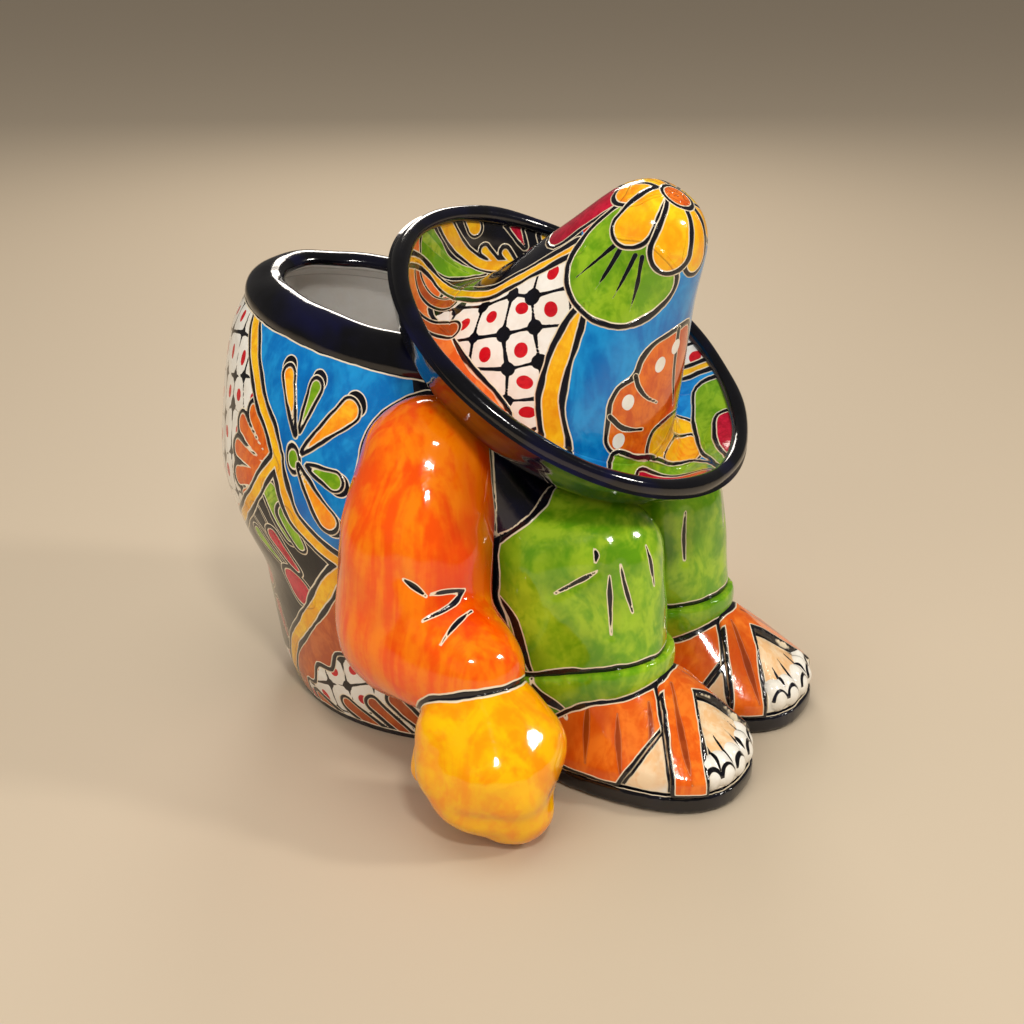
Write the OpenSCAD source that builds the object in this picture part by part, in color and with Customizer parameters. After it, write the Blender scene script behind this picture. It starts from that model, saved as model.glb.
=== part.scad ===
// Talavera pottery vase: a hollow pot that is the back of a seated figure
// resting under a wide hat, knees drawn up, hands on the ground.
// Units are millimetres. +Z is up, the ground is z = 0, the figure faces -Y
// and X = 0 is the plane of symmetry. Its right side is at negative X.
// Every module below is one piece of clay, joined to its neighbours with slip.

/* [Pot] */
// length of the pot's belly, front to back
belly_len = 210; // [190:1:225]
// half the belly's width at its fullest
belly_half = 86; // [78:1:92]
// height of the wall's top at the middle of the mouth
wall_top = 178; // [165:1:190]
// thickness of the wall
wall = 7; // [5:0.5:9]
// thickness of the floor slab
floor_t = 8; // [5:0.5:12]

/* [Mouth] */
// half the mouth's opening across
mouth_half = 40; // [34:1:44]
// half the mouth's opening front to back
mouth_long = 63; // [55:1:68]
// middle of the mouth, measured back from the row's origin
mouth_y = 60; // [52:1:66]
// how far the mouth tips up towards the back, degrees
mouth_tip = 8.8; // [4:0.2:12]

/* [Hat] */
// radius of the hat over its rolled edge
hat_r = 92; // [84:0.5:100]
// radius of the rolled edge's own section
roll_r = 5.5; // [4:0.25:6.5]
// length of the crown from the plane of the edge
crown_h = 85.5; // [78:0.5:96]
// tilt of the hat towards the knees, degrees
hat_tilt = 33.2; // [25:0.2:40]
// centre of the edge circle, forward of the origin
hat_y = -34; // [-42:1:-26]
// height of the centre of the edge circle
hat_z = 181.4; // [172:0.2:190]
// thickness of the hat's clay
hat_t = 6; // [4.5:0.5:8]

/* [Arms] */
// sideways place of the right hand
right_hand_x = 117; // [104:1:122]
// forward place of the right hand
right_hand_y = -56; // [-64:1:-48]
// sideways place of the left hand, which is tucked in closer
left_hand_x = 100; // [92:1:112]
// forward place of the left hand
left_hand_y = -33; // [-44:1:-28]
// radius of the closed hand
hand_r = 31; // [26:0.5:34]
// thickness of the sleeve at the elbow
elbow_r = 35; // [30:0.5:38]

/* [Legs] */
// half the distance between the knees
knee_x = 34; // [30:0.5:38]
// radius of the knee
knee_r = 27; // [23:0.5:30]
// height of the top of the knee
knee_top = 126; // [112:1:132]

/* [Feet] */
// half the distance between the feet
foot_x = 38.5; // [36:0.5:42]
// length of the sole
sole_len = 104; // [94:1:110]
// width of the sole
sole_w = 75; // [66:1:78]
// thickness of the sole
sole_t = 9; // [6:0.5:12]

/* [Hidden] */
seg = 44;              // facets round the pot
pot_front = -58;
pot_back = pot_front + belly_len;
tip = tan(mouth_tip);
rim_w = 19;            // width of the rounded shoulder round the mouth
eps = 0.01;

cobalt = [0.05, 0.05, 0.20];
blue = [0.05, 0.40, 0.66];
orange = [0.95, 0.36, 0.05];
yellow = [0.98, 0.66, 0.05];
green = [0.42, 0.62, 0.06];
skin = [0.95, 0.80, 0.60];
strap_col = [0.85, 0.36, 0.08];
white = [0.93, 0.91, 0.86];

// ---- lofts: rings of points joined into one closed skin ----

// stations of the pot's outside: height, front, back, half width
stations = [
    [0, pot_front + 6, pot_back - 37, belly_half - 12],
    [14, pot_front + 4, pot_back - 30, belly_half - 9],
    [30, pot_front + 2, pot_back - 27, belly_half - 7],
    [48, pot_front, pot_back - 25, belly_half - 4],
    [66, pot_front, pot_back - 22, belly_half - 2],
    [85, pot_front, pot_back - 10, belly_half],
    [110, pot_front + 3, pot_back, belly_half],
    [138, pot_front + 13, pot_back - 1, belly_half - 7],
    [162, pot_front + 24, pot_back - 5, belly_half - 18],
    [wall_top, mouth_y - mouth_long - rim_w, mouth_y + mouth_long + rim_w - 3, mouth_half + rim_w]
];

function ease(t) = let (c = max(0, min(1, t))) c * c * (3 - 2 * c);
function leaning(z) = tip * ease((z - 112) / (wall_top - 112));

// one ring: an ellipse across the pot, tipped up at the back near the mouth
function ring(s, inset, drop = 0) =
    let (z = s[0] - drop, mid = (s[1] + s[2]) / 2, long = (s[2] - s[1]) / 2 - inset, half = s[3] - inset)
    [for (i = [0:seg - 1]) let (a = 360 * i / seg)
        [half * cos(a), mid + long * sin(a), z + leaning(z) * long * sin(a)]];

// a smooth curve through four stations, t runs from the second to the third
function blend(p0, p1, p2, p3, t) =
    0.5 * (2 * p1 + (p2 - p0) * t + (2 * p0 - 5 * p1 + 4 * p2 - p3) * t * t
    + (3 * p1 - p0 - 3 * p2 + p3) * t * t * t);
function at_station(k) =
    let (last = len(stations) - 1, i = min(floor(k), last - 1), t = k - i)
    blend(stations[max(i - 1, 0)], stations[i], stations[i + 1], stations[min(i + 2, last)], t);

// joins rings; "closed" also joins the last ring to the first, as in a tube
module loft(rings, closed = false) {
    n = len(rings);
    m = len(rings[0]);
    last = closed ? n - 1 : n - 2;
    sides = [for (j = [0:last]) for (i = [0:m - 1])
        [j * m + i, ((j + 1) % n) * m + i, ((j + 1) % n) * m + (i + 1) % m, j * m + (i + 1) % m]];
    ends = closed ? [] : [[for (i = [0:m - 1]) i], [for (i = [m - 1:-1:0]) (n - 1) * m + i]];
    polyhedron(points = [for (r = rings) for (p = r) p], faces = concat(sides, ends), convexity = 6);
}

top_k = len(stations) - 1;
outer_k = [for (k = [0:0.5:top_k]) k];
function height_k(z) = lookup(z, [for (i = [0:top_k]) [stations[i][0], i]]);

module pot_skin() {
    loft([for (k = outer_k) ring(at_station(k), 0)]);
}

// the pot with its rim, filled in, for trimming what leans on it
module pot_mass() {
    pot_skin();
    top = at_station(top_k);
    loft([ring(top, 0, 0.5), ring(top, 3, -6), ring(top, 8, -10), ring(top, 16, -11)]);
}

// ---- pot ----

module pot_wall() {
    outside = [for (k = outer_k) ring(at_station(k), 0)];
    inside = [for (i = [len(outer_k) - 1:-1:0]) ring(at_station(outer_k[i]), wall)];
    color(blue) loft(concat(outside, inside), closed = true);
}

module base_slab() {
    ks = [0, height_k(floor_t)];
    color(white) loft([for (k = ks) ring(at_station(k), wall)]);
}

module mouth_rim() {
    top = at_station(top_k);
    // inset from the wall's outside and rise above its top, once round the section
    section = [[0, 0], [-0.4, 2.5], [1, 6.5], [4.5, 10], [9, 12.4], [13.5, 13.4], [17, 12.8], [19, 10.8],
               [19, 8.4], [17, 6.4], [12, 3.6], [wall, 0]];
    color(cobalt) loft([for (p = section) ring(top, p[0], -p[1])], closed = true);
}

// ---- hat ----

// upper side of the hat: distance from its axis and height along it
brim_line = [[hat_r - roll_r, roll_r * 0.5], [84, -2], [81, -7.5], [77.5, -12.5], [73.5, -16.5], [69, -18.8],
             [64.5, -19], [60.5, -17], [57, -13]];
crown_line = [[57, -13], [53.6, -7], [50.3, 0], [47, 7.5], [43.8, 15.5], [40.6, 24], [37.6, 32.5], [34.6, 41],
              [31.6, 49.5], [28.8, 58], [26, 66], [23, 73], [19, 78.8], [14, 83], [8.5, 85.6], [3, crown_h],
              [0, crown_h]];

module on_hat() {
    translate([0, hat_y, hat_z]) rotate([hat_tilt, 0, 0]) children();
}

module hat_brim() {
    under = [for (i = [len(brim_line) - 1:-1:0]) brim_line[i] - [0, hat_t]];
    color(blue) on_hat() difference() {
        rotate_extrude($fn = 96) polygon(concat(brim_line, under));
        rotate_extrude($fn = 96) translate([hat_r - roll_r, 0]) circle(r = roll_r, $fn = 32);
    }
}

module hat_brim_roll() {
    color(cobalt) on_hat()
        rotate_extrude($fn = 96) translate([hat_r - roll_r, 0]) circle(r = roll_r, $fn = 32);
}

// the crown's hollow leaves the same thickness of clay all the way up
crown_n = len(crown_line) - 1;
function crown_inset(i) =
    i == 0 ? [0, -hat_t] :
    let (d = crown_line[min(i + 1, crown_n)] - crown_line[i - 1], l = norm(d)) [-hat_t * d[1] / l, hat_t * d[0] / l];
crown_inner = [for (i = [crown_n:-1:0]) [max(crown_line[i][0] + crown_inset(i)[0], 0),
                                        crown_line[i][1] + crown_inset(i)[1]]];

module hat_crown() {
    color(green) on_hat() rotate_extrude($fn = 96) polygon(concat(crown_line, crown_inner));
}

// the space the hat takes up, for trimming what it rests on
module hat_mass() {
    under = [for (i = [len(brim_line) - 1:-1:0]) brim_line[i] - [0, hat_t]];
    low = [for (i = [0:crown_n - 1]) crown_inner[i]];
    on_hat() {
        rotate_extrude($fn = 48) polygon(concat(low, under, [[hat_r - roll_r, 60], [30, 60], [0, crown_h]]));
        rotate_extrude($fn = 48) translate([hat_r - roll_r, 0]) circle(r = roll_r, $fn = 16);
    }
}

// ---- body under the hat ----

module ball(p, r, f = 28) {
    translate(p) sphere(r = r, $fn = f);
}

module mirrored(side) {
    mirror([side > 0 ? 0 : 1, 0, 0]) children();
}

module head_shape() {
    hull() {
        on_hat() ball([0, 0, 33], 30);
        on_hat() ball([0, 4, 5], 27);
    }
}

module bowed_head() {
    color(skin) resize([0, 0, 0]) difference() {
        head_shape();
        hat_mass();
        pot_mass();
    }
}

module yoke_shape() {
    hull() {
        for (s = [-1, 1]) {
            ball([s * 52, -14, 140], 20, 24);
            ball([s * 48, -30, 114], 18, 24);
            ball([s * 34, -38, 84], 16, 24);
        }
    }
    hull() {
        ball([0, -28, 138], 26, 24);
        on_hat() ball([0, -5, -8], 18, 24);
    }
}

module shoulder_yoke() {
    color(cobalt) resize([0, 0, 0]) difference() {
        yoke_shape();
        pot_mass();
        head_shape();
        hat_mass();
        for (s = [-1, 1]) {
            sleeve_shape(s);
            mirrored(s) leg_shape();
        }
    }
}

// ---- arms ----

function hand_x(side) = side < 0 ? right_hand_x : left_hand_x;
function hand_y(side) = side < 0 ? right_hand_y : left_hand_y;

// everything on the hand's side of the sleeve's opening
module beyond_wrist(side) {
    turn = atan2(-hand_y(side) - 8, hand_x(side) - 91);
    mirrored(side) translate([hand_x(side) - 8, hand_y(side) + 14, 46])
        rotate([0, 0, -turn]) rotate([0, 129, 0]) translate([-50, -50, 0]) cube([100, 100, 60]);
}

// upper arm down the pot's side, forearm forward and out to the hand
module sleeve_shape(side) {
    shoulder = [70, 0, 141];
    upper = [86, -4, 112];
    elbow = [91, -8, elbow_r + 40];
    wrist = [hand_x(side) - 13, hand_y(side) + 14, 70];
    mirrored(side) {
        hull() {
            ball(shoulder, 30, 24);
            ball(upper, 34, 24);
        }
        hull() {
            ball(upper, 34, 24);
            ball(elbow, elbow_r, 24);
        }
        hull() {
            ball(elbow, elbow_r, 24);
            ball(wrist, 24, 24);
        }
    }
}

module hand_shape(side) {
    x = hand_x(side);
    y = hand_y(side);
    mirrored(side) hull() {
        ball([x, y, hand_r], hand_r, 28);
        ball([x - 9, y + 12, hand_r + 24], hand_r - 9, 24);
    }
}

module thumb_shape(side) {
    x = hand_x(side);
    y = hand_y(side);
    mirrored(side) hull() {
        ball([x + 1, y + 26, 41], 8.2, 16);
        ball([x + 7, y + 26, 26], 8.2, 16);
    }
}

module sleeve(side) {
    color(orange) resize([0, 0, 0]) difference() {
        sleeve_shape(side);
        beyond_wrist(side);
        pot_mass();
        mirrored(side) leg_shape();
        hat_mass();
    }
}

module hand(side) {
    color(yellow) resize([0, 0, 0]) difference() {
        intersection() {
            hand_shape(side);
            beyond_wrist(side);
        }
        pot_mass();
        mirrored(side) {
            sole_shape();
            foot_shape();
        }
        translate([-200, -200, -50]) cube([400, 400, 50]);
    }
}

module thumb(side) {
    color(yellow) resize([0, 0, 0]) difference() {
        thumb_shape(side);
        intersection() {
            hand_shape(side);
            beyond_wrist(side);
        }
        difference() {
            sleeve_shape(side);
            beyond_wrist(side);
        }
    }
}

module right_sleeve() { sleeve(-1); }
module left_sleeve() { sleeve(1); }
module right_hand() { hand(-1); }
module left_hand() { hand(1); }
module right_thumb() { thumb(-1); }
module left_thumb() { thumb(1); }

// ---- legs ----

module leg_shape() {
    hull() {
        ball([knee_x, -67, knee_top - knee_r], knee_r, 28);
        ball([knee_x + 6, -42, knee_top - knee_r - 3], knee_r + 5, 28);
        ball([knee_x + 1, -70, 60], knee_r + 1, 28);
        ball([knee_x + 6, -44, 52], knee_r + 5, 28);
    }
}

// a turned-up hem that follows the leg, lower at the heel than at the instep
module cuff_shape(grow, low, high) {
    intersection() {
        hull() {
            ball([knee_x + 1, -71, 52], knee_r + 1 + grow, 28);
            ball([knee_x + 6, -46, 44], knee_r + 5 + grow, 28);
        }
        translate([0, -60, 36]) rotate([-10, 0, 0]) translate([0, -70, low]) cube([100, 140, high - low]);
    }
}

module trouser_leg(side) {
    color(green) resize([0, 0, 0]) difference() {
        mirrored(side) leg_shape();
        pot_mass();
        mirrored(side) cuff_shape(40, -80, 15);
        hat_mass();
    }
}

module trouser_cuff(side) {
    color(green) resize([0, 0, 0]) difference() {
        mirrored(side) cuff_shape(2, -6, 15);
        pot_mass();
        sleeve_shape(side);
        hand_shape(side);
    }
}

module right_trouser_leg() { trouser_leg(-1); }
module left_trouser_leg() { trouser_leg(1); }
module right_trouser_cuff() { trouser_cuff(-1); }
module left_trouser_cuff() { trouser_cuff(1); }

// ---- feet ----

// a point on the sole's edge, "grow" outside it
function sole_edge(a, grow) =
    [foot_x + sign(cos(a)) * (sole_w / 2 + grow) * pow(abs(cos(a)), 0.8),
     -89.5 + sign(sin(a)) * (sole_len / 2 + grow) * pow(abs(sin(a)), 0.8)];

module sole_outline(grow) {
    polygon([for (i = [0:59]) sole_edge(6 * i, grow)]);
}

module sole_shape() {
    linear_extrude(sole_t) sole_outline(0);
}

module foot_shape(grow = 0) {
    hull() {
        translate([0, 0, sole_t]) linear_extrude(8) sole_outline(-2 + grow);
        ball([foot_x - 4, -110, 20], 18 + grow, 20);
        ball([foot_x - 3, -84, 26], 26 + grow, 24);
        ball([foot_x - 2, -62, 30], 28 + grow, 24);
    }
}

module toe_balls() {
    for (a = [-142:26:-38]) {
        e = sole_edge(a, -9);
        ball([e[0], e[1], sole_t + 6], 8.6, 14);
    }
}

module foot(side) {
    color(skin) resize([0, 0, 0]) difference() {
        mirrored(side) foot_shape();
        mirrored(side) sole_shape();
        mirrored(side) cuff_shape(2, -6, 40);
        mirrored(side) leg_shape();
        pot_mass();
        translate([-200, -200, -100]) cube([400, 400, 100 + sole_t]);
    }
}

module toes(side) {
    color(white) resize([0, 0, 0]) difference() {
        mirrored(side) toe_balls();
        mirrored(side) foot_shape();
        translate([-200, -200, -100]) cube([400, 400, 100 + sole_t]);
    }
}

module sole(side) {
    color(cobalt) resize([0, 0, 0]) difference() {
        mirrored(side) sole_shape();
        pot_mass();
    }
}

// a thin band of clay over the foot, cut to shape by its child
module strap_shell(side) {
    intersection() {
        difference() {
            mirrored(side) foot_shape(1.8);
            mirrored(side) foot_shape();
            mirrored(side) cuff_shape(2, -6, 40);
            mirrored(side) leg_shape();
            hand_shape(side);
            pot_mass();
            translate([-200, -200, -100]) cube([400, 400, 100 + sole_t]);
            translate([-200 * max(0, side), -200, -100]) cube([200, 400, 400]);
        }
        children();
    }
}

module ankle_strap(side) {
    color(strap_col) resize([0, 0, 0]) strap_shell(side)
        mirrored(side) translate([0, -92, 0]) rotate([-28, 0, 0]) translate([0, 0, -40]) cube([120, 60, 120]);
}

// two arms that meet on the instep and run forward to the sole on each side
module instep_strap(side) {
    reach = 60;
    slant = 0.5;
    color(strap_col) resize([0, 0, 0]) strap_shell(side) mirrored(side)
        translate([foot_x - 3, -97, 0]) linear_extrude(80)
            polygon([[0, 8], [reach, 8 - reach * slant], [reach, -8 - reach * slant], [0, -8],
                     [-reach, -8 - reach * slant], [-reach, 8 - reach * slant]]);
}

module right_foot() { foot(-1); }
module left_foot() { foot(1); }
module right_toes() { toes(-1); }
module left_toes() { toes(1); }
module right_sole() { sole(-1); }
module left_sole() { sole(1); }
module right_ankle_strap() { ankle_strap(-1); }
module left_ankle_strap() { ankle_strap(1); }
module right_instep_strap() { instep_strap(-1); }
module left_instep_strap() { instep_strap(1); }

pot_wall();
base_slab();
mouth_rim();
shoulder_yoke();
bowed_head();
hat_brim();
hat_brim_roll();
hat_crown();
right_sleeve();
left_sleeve();
right_hand();
left_hand();
right_thumb();
left_thumb();
right_trouser_leg();
left_trouser_leg();
right_trouser_cuff();
left_trouser_cuff();
right_foot();
left_foot();
right_sole();
left_sole();
right_toes();
left_toes();
right_ankle_strap();
left_ankle_strap();
right_instep_strap();
left_instep_strap();
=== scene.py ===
import math

import bmesh
import bpy
import numpy as np
from mathutils import Matrix, Vector
from mathutils.bvhtree import BVHTree


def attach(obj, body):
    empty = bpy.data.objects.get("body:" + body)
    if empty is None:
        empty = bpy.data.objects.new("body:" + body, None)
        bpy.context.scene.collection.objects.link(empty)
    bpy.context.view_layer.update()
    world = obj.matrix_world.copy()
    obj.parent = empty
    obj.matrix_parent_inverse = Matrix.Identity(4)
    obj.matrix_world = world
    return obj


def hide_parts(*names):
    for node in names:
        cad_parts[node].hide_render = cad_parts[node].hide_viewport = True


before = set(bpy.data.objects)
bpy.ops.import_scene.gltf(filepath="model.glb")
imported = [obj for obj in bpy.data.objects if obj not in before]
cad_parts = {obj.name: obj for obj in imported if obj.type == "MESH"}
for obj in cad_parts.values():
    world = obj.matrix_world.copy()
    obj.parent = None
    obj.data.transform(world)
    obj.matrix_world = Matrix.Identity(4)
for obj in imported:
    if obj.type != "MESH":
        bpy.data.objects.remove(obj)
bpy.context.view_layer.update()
mm = 0.001
print("frame loaded:", len(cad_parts), "clay pieces")

# camera, lights and floor

cameraSetup = {"azimuth": 60.8, "elevation": 23.4, "distance": 0.7727, "target": (0.0022, 0.0, 0.0908),
               "lens": 56.24}


def placeCamera(setup):
    turn, lift = math.radians(setup["azimuth"]), math.radians(setup["elevation"])
    back = Vector((-math.sin(turn) * math.cos(lift), -math.cos(turn) * math.cos(lift), math.sin(lift)))
    right = Vector((math.cos(turn), -math.sin(turn), 0))
    up = back.cross(right)
    data = bpy.data.cameras.new("studioCamera")
    data.lens, data.sensor_width = setup["lens"], 36
    data.clip_start, data.clip_end = 0.05, 20
    camera = bpy.data.objects.new("studioCamera", data)
    basis = Matrix((right, up, back)).transposed().to_4x4()
    camera.matrix_world = Matrix.Translation(Vector(setup["target"]) + back * setup["distance"]) @ basis
    bpy.context.scene.collection.objects.link(camera)
    bpy.context.scene.camera = camera


# each softbox: where it hangs, its size, its power, its colour, and whether the glaze mirrors it
softboxes = {
    "windowBox": ((-0.75, -0.62, 1.15), (0.15, 0.11), 6.0, (1.0, 0.97, 0.92), True),
    "frontBox": ((0.45, -1.25, 0.95), (0.20, 0.16), 8.0, (1.0, 0.95, 0.88), True),
    "sideFill": ((-1.30, 0.05, 0.80), (0.90, 0.80), 5.5, (1.0, 0.97, 0.93), False),
    "topFill": ((0.00, 0.20, 1.50), (1.20, 1.20), 10.0, (1.0, 0.98, 0.95), False),
    "backBox": ((1.10, 0.70, 0.75), (0.40, 0.40), 5.0, (1.0, 0.92, 0.82), True),
}


def hangSoftboxes(boxes):
    for name, (place, size, power, tint, mirrored) in boxes.items():
        data = bpy.data.lights.new(name, "AREA")
        data.shape, data.size, data.size_y = "RECTANGLE", size[0], size[1]
        data.energy, data.color = power, tint
        lamp = bpy.data.objects.new(name, data)
        lamp.visible_glossy = mirrored
        aim = Vector((-0.02, -0.01, 0.11)) - Vector(place)
        lamp.matrix_world = Matrix.Translation(place) @ aim.to_track_quat("-Z", "Y").to_matrix().to_4x4()
        bpy.context.scene.collection.objects.link(lamp)
    world = bpy.data.worlds.new("softRoom")
    world.use_nodes = True
    tree = world.node_tree
    background = tree.nodes["Background"]
    background.inputs[0].default_value = (0.86, 0.80, 0.72, 1)
    mirrored = tree.nodes.new("ShaderNodeLightPath").outputs["Is Glossy Ray"]
    strength = tree.nodes.new("ShaderNodeMapRange")
    strength.inputs[3].default_value, strength.inputs[4].default_value = 0.40, 0.12
    tree.links.new(mirrored, strength.inputs[0])
    tree.links.new(strength.outputs[0], background.inputs[1])
    bpy.context.scene.world = world
    bpy.context.scene.view_settings.view_transform = "Standard"


placeCamera(cameraSetup)
hangSoftboxes(softboxes)
print("camera and lights ready")

# shader node helpers


def addNode(tree, kind, settings=(), **inputs):
    node = tree.nodes.new(kind)
    for key, value in settings:
        setattr(node, key, value)
    for key, value in inputs.items():
        socket = node.inputs[int(key[1:])] if key[0] == "i" and key[1:].isdigit() else node.inputs[key]
        if isinstance(value, bpy.types.NodeSocket):
            tree.links.new(value, socket)
        else:
            socket.default_value = value
    return node


def calc(tree, operation, first, second=0.0, third=0.0, clamp=False):
    return addNode(tree, "ShaderNodeMath", [("operation", operation), ("use_clamp", clamp)],
                   i0=first, i1=second, i2=third).outputs[0]


def blendColour(tree, share, first, second):
    mix = addNode(tree, "ShaderNodeMix", [("data_type", "RGBA")], i0=share, i6=first, i7=second)
    return mix.outputs[2]


def softStep(tree, value, low, high, bottom=0.0, top=1.0):
    step = addNode(tree, "ShaderNodeMapRange", [("interpolation_type", "SMOOTHSTEP")],
                   i0=value, i1=low, i2=high, i3=bottom, i4=top)
    return step.outputs[0]


def objectNoise(tree, scale, detail=2.0, stretch=(1, 1, 1), rough=0.5, seedShift=0.0, warp=0.0):
    place = addNode(tree, "ShaderNodeTexCoord").outputs["Object"]
    mapped = addNode(tree, "ShaderNodeMapping", i1=(seedShift, seedShift * 0.7, seedShift * 1.3), i3=stretch,
                     Vector=place)
    noise = addNode(tree, "ShaderNodeTexNoise", Vector=mapped.outputs[0], Scale=scale, Detail=detail,
                    Roughness=rough, Distortion=warp)
    return noise.outputs[0]


def newGroup(name, inputs, outputs):
    group = bpy.data.node_groups.new(name, "ShaderNodeTree")
    for label, kind, default in inputs:
        socket = group.interface.new_socket(label, in_out="INPUT", socket_type=kind)
        socket.default_value = default
    for label, kind in outputs:
        group.interface.new_socket(label, in_out="OUTPUT", socket_type=kind)
    return group, group.nodes.new("NodeGroupInput"), group.nodes.new("NodeGroupOutput")


def placeGroup(tree, group, **inputs):
    node = tree.nodes.new("ShaderNodeGroup")
    node.node_tree = group
    for key, value in inputs.items():
        if isinstance(value, bpy.types.NodeSocket):
            tree.links.new(value, node.inputs[key])
        else:
            node.inputs[key].default_value = value
    return node


def shade(red, green, blue):
    # sRGB parts out of 255 as a linear colour
    parts = [part / 255 for part in (red, green, blue)]
    return tuple(p / 12.92 if p <= 0.04045 else ((p + 0.055) / 1.055) ** 2.4 for p in parts) + (1.0,)


def buildBrushGroup():
    # glaze laid on by brush: thin and pooled colours, drawn-out strokes and fine mottle
    inputs = [("Thin", "NodeSocketColor", (1, 1, 1, 1)), ("Pooled", "NodeSocketColor", (0, 0, 0, 1)),
              ("Deep", "NodeSocketColor", (0, 0, 0, 1)), ("Strokes", "NodeSocketFloat", 60.0),
              ("Along", "NodeSocketFloat", 0.35), ("Deepness", "NodeSocketFloat", 0.5)]
    group, source, target = newGroup("brushedGlaze", inputs,
                                     [("Color", "NodeSocketColor"), ("Height", "NodeSocketFloat")])
    place = addNode(group, "ShaderNodeTexCoord").outputs["Object"]
    stretch = addNode(group, "ShaderNodeCombineXYZ", i0=1.0, i1=1.0, i2=source.outputs["Along"]).outputs[0]
    drawn = addNode(group, "ShaderNodeVectorMath", [("operation", "MULTIPLY")], i0=place, i1=stretch).outputs[0]
    strokes = addNode(group, "ShaderNodeTexNoise", Vector=drawn, Scale=source.outputs["Strokes"], Detail=3.0,
                      Roughness=0.62, Distortion=1.1).outputs[0]
    finer = calc(group, "MULTIPLY", source.outputs["Strokes"], 3.4)
    hairs = addNode(group, "ShaderNodeTexNoise", Vector=drawn, Scale=finer, Detail=2.0,
                    Distortion=0.6).outputs[0]
    strokes = calc(group, "MULTIPLY_ADD", calc(group, "SUBTRACT", hairs, 0.5), 0.45, strokes)
    clouds = addNode(group, "ShaderNodeTexNoise", Vector=place, Scale=24.0, Detail=2.0,
                     Distortion=0.8).outputs[0]
    fine = addNode(group, "ShaderNodeTexNoise", Vector=place, Scale=420.0, Detail=3.0).outputs[0]
    pool = softStep(group, calc(group, "MULTIPLY_ADD", fine, 0.16, strokes), 0.42, 0.74)
    colour = blendColour(group, pool, source.outputs["Thin"], source.outputs["Pooled"])
    deep = calc(group, "MULTIPLY", softStep(group, clouds, 0.46, 0.72), source.outputs["Deepness"])
    colour = blendColour(group, deep, colour, source.outputs["Deep"])
    group.links.new(colour, target.inputs["Color"])
    group.links.new(calc(group, "MULTIPLY_ADD", clouds, 0.6, calc(group, "MULTIPLY", strokes, 0.25)),
                    target.inputs["Height"])
    return group


def buildPaintGroup():
    # one painted shape: fill inside, raised dark line on its edge, bare cream clay on both sides of the line
    inputs = [("Under", "NodeSocketColor", (1, 1, 1, 1)), ("Distance", "NodeSocketFloat", 0.0),
              ("Fill", "NodeSocketColor", (1, 1, 1, 1)), ("Line", "NodeSocketFloat", 1.6),
              ("Halo", "NodeSocketFloat", 0.5),
              ("Height", "NodeSocketFloat", 0.0), ("Soft", "NodeSocketFloat", 0.1)]
    group, source, target = newGroup("paintedShape", inputs,
                                     [("Color", "NodeSocketColor"), ("Height", "NodeSocketFloat")])
    wander = objectNoise(group, 95.0, 2.0)
    swell = objectNoise(group, 60.0, 1.0, seedShift=3.0)
    moved = calc(group, "MULTIPLY_ADD", calc(group, "SUBTRACT", wander, 0.5), 1.5, source.outputs["Distance"])
    away = calc(group, "ABSOLUTE", moved)
    half = calc(group, "MULTIPLY", source.outputs["Line"], softStep(group, swell, 0.25, 0.75, 0.34, 0.68))
    lineMask = softStep(group, calc(group, "SUBTRACT", half, away), -0.12, 0.12)
    lineMask = calc(group, "MULTIPLY", lineMask, softStep(group, source.outputs["Line"], 0.0, 0.05))
    edge = calc(group, "SUBTRACT", calc(group, "ADD", half, source.outputs["Halo"]), away)
    haloMask = softStep(group, edge, -0.14, 0.14)
    inside = softStep(group, moved, source.outputs["Soft"],
                      calc(group, "MULTIPLY", source.outputs["Soft"], -1.0))
    bare = calc(group, "MULTIPLY", inside, softStep(group, source.outputs["Line"], 0.05, 0.0))
    haloMask = calc(group, "MULTIPLY", haloMask, calc(group, "SUBTRACT", 1.0, bare))
    cream = blendColour(group, wander, shade(250, 240, 215), shade(236, 214, 178))
    ink = blendColour(group, swell, shade(10, 9, 14), shade(26, 25, 34))
    colour = blendColour(group, inside, source.outputs["Under"], source.outputs["Fill"])
    colour = blendColour(group, haloMask, colour, cream)
    colour = blendColour(group, lineMask, colour, ink)
    bead = softStep(group, calc(group, "SUBTRACT", half, away), -0.45, 0.5)
    bead = calc(group, "MULTIPLY", bead, softStep(group, source.outputs["Line"], 0.0, 0.05))
    group.links.new(colour, target.inputs["Color"])
    group.links.new(calc(group, "MAXIMUM", source.outputs["Height"], bead), target.inputs["Height"])
    return group


brushGroup, paintGroup = buildBrushGroup(), buildPaintGroup()

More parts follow.
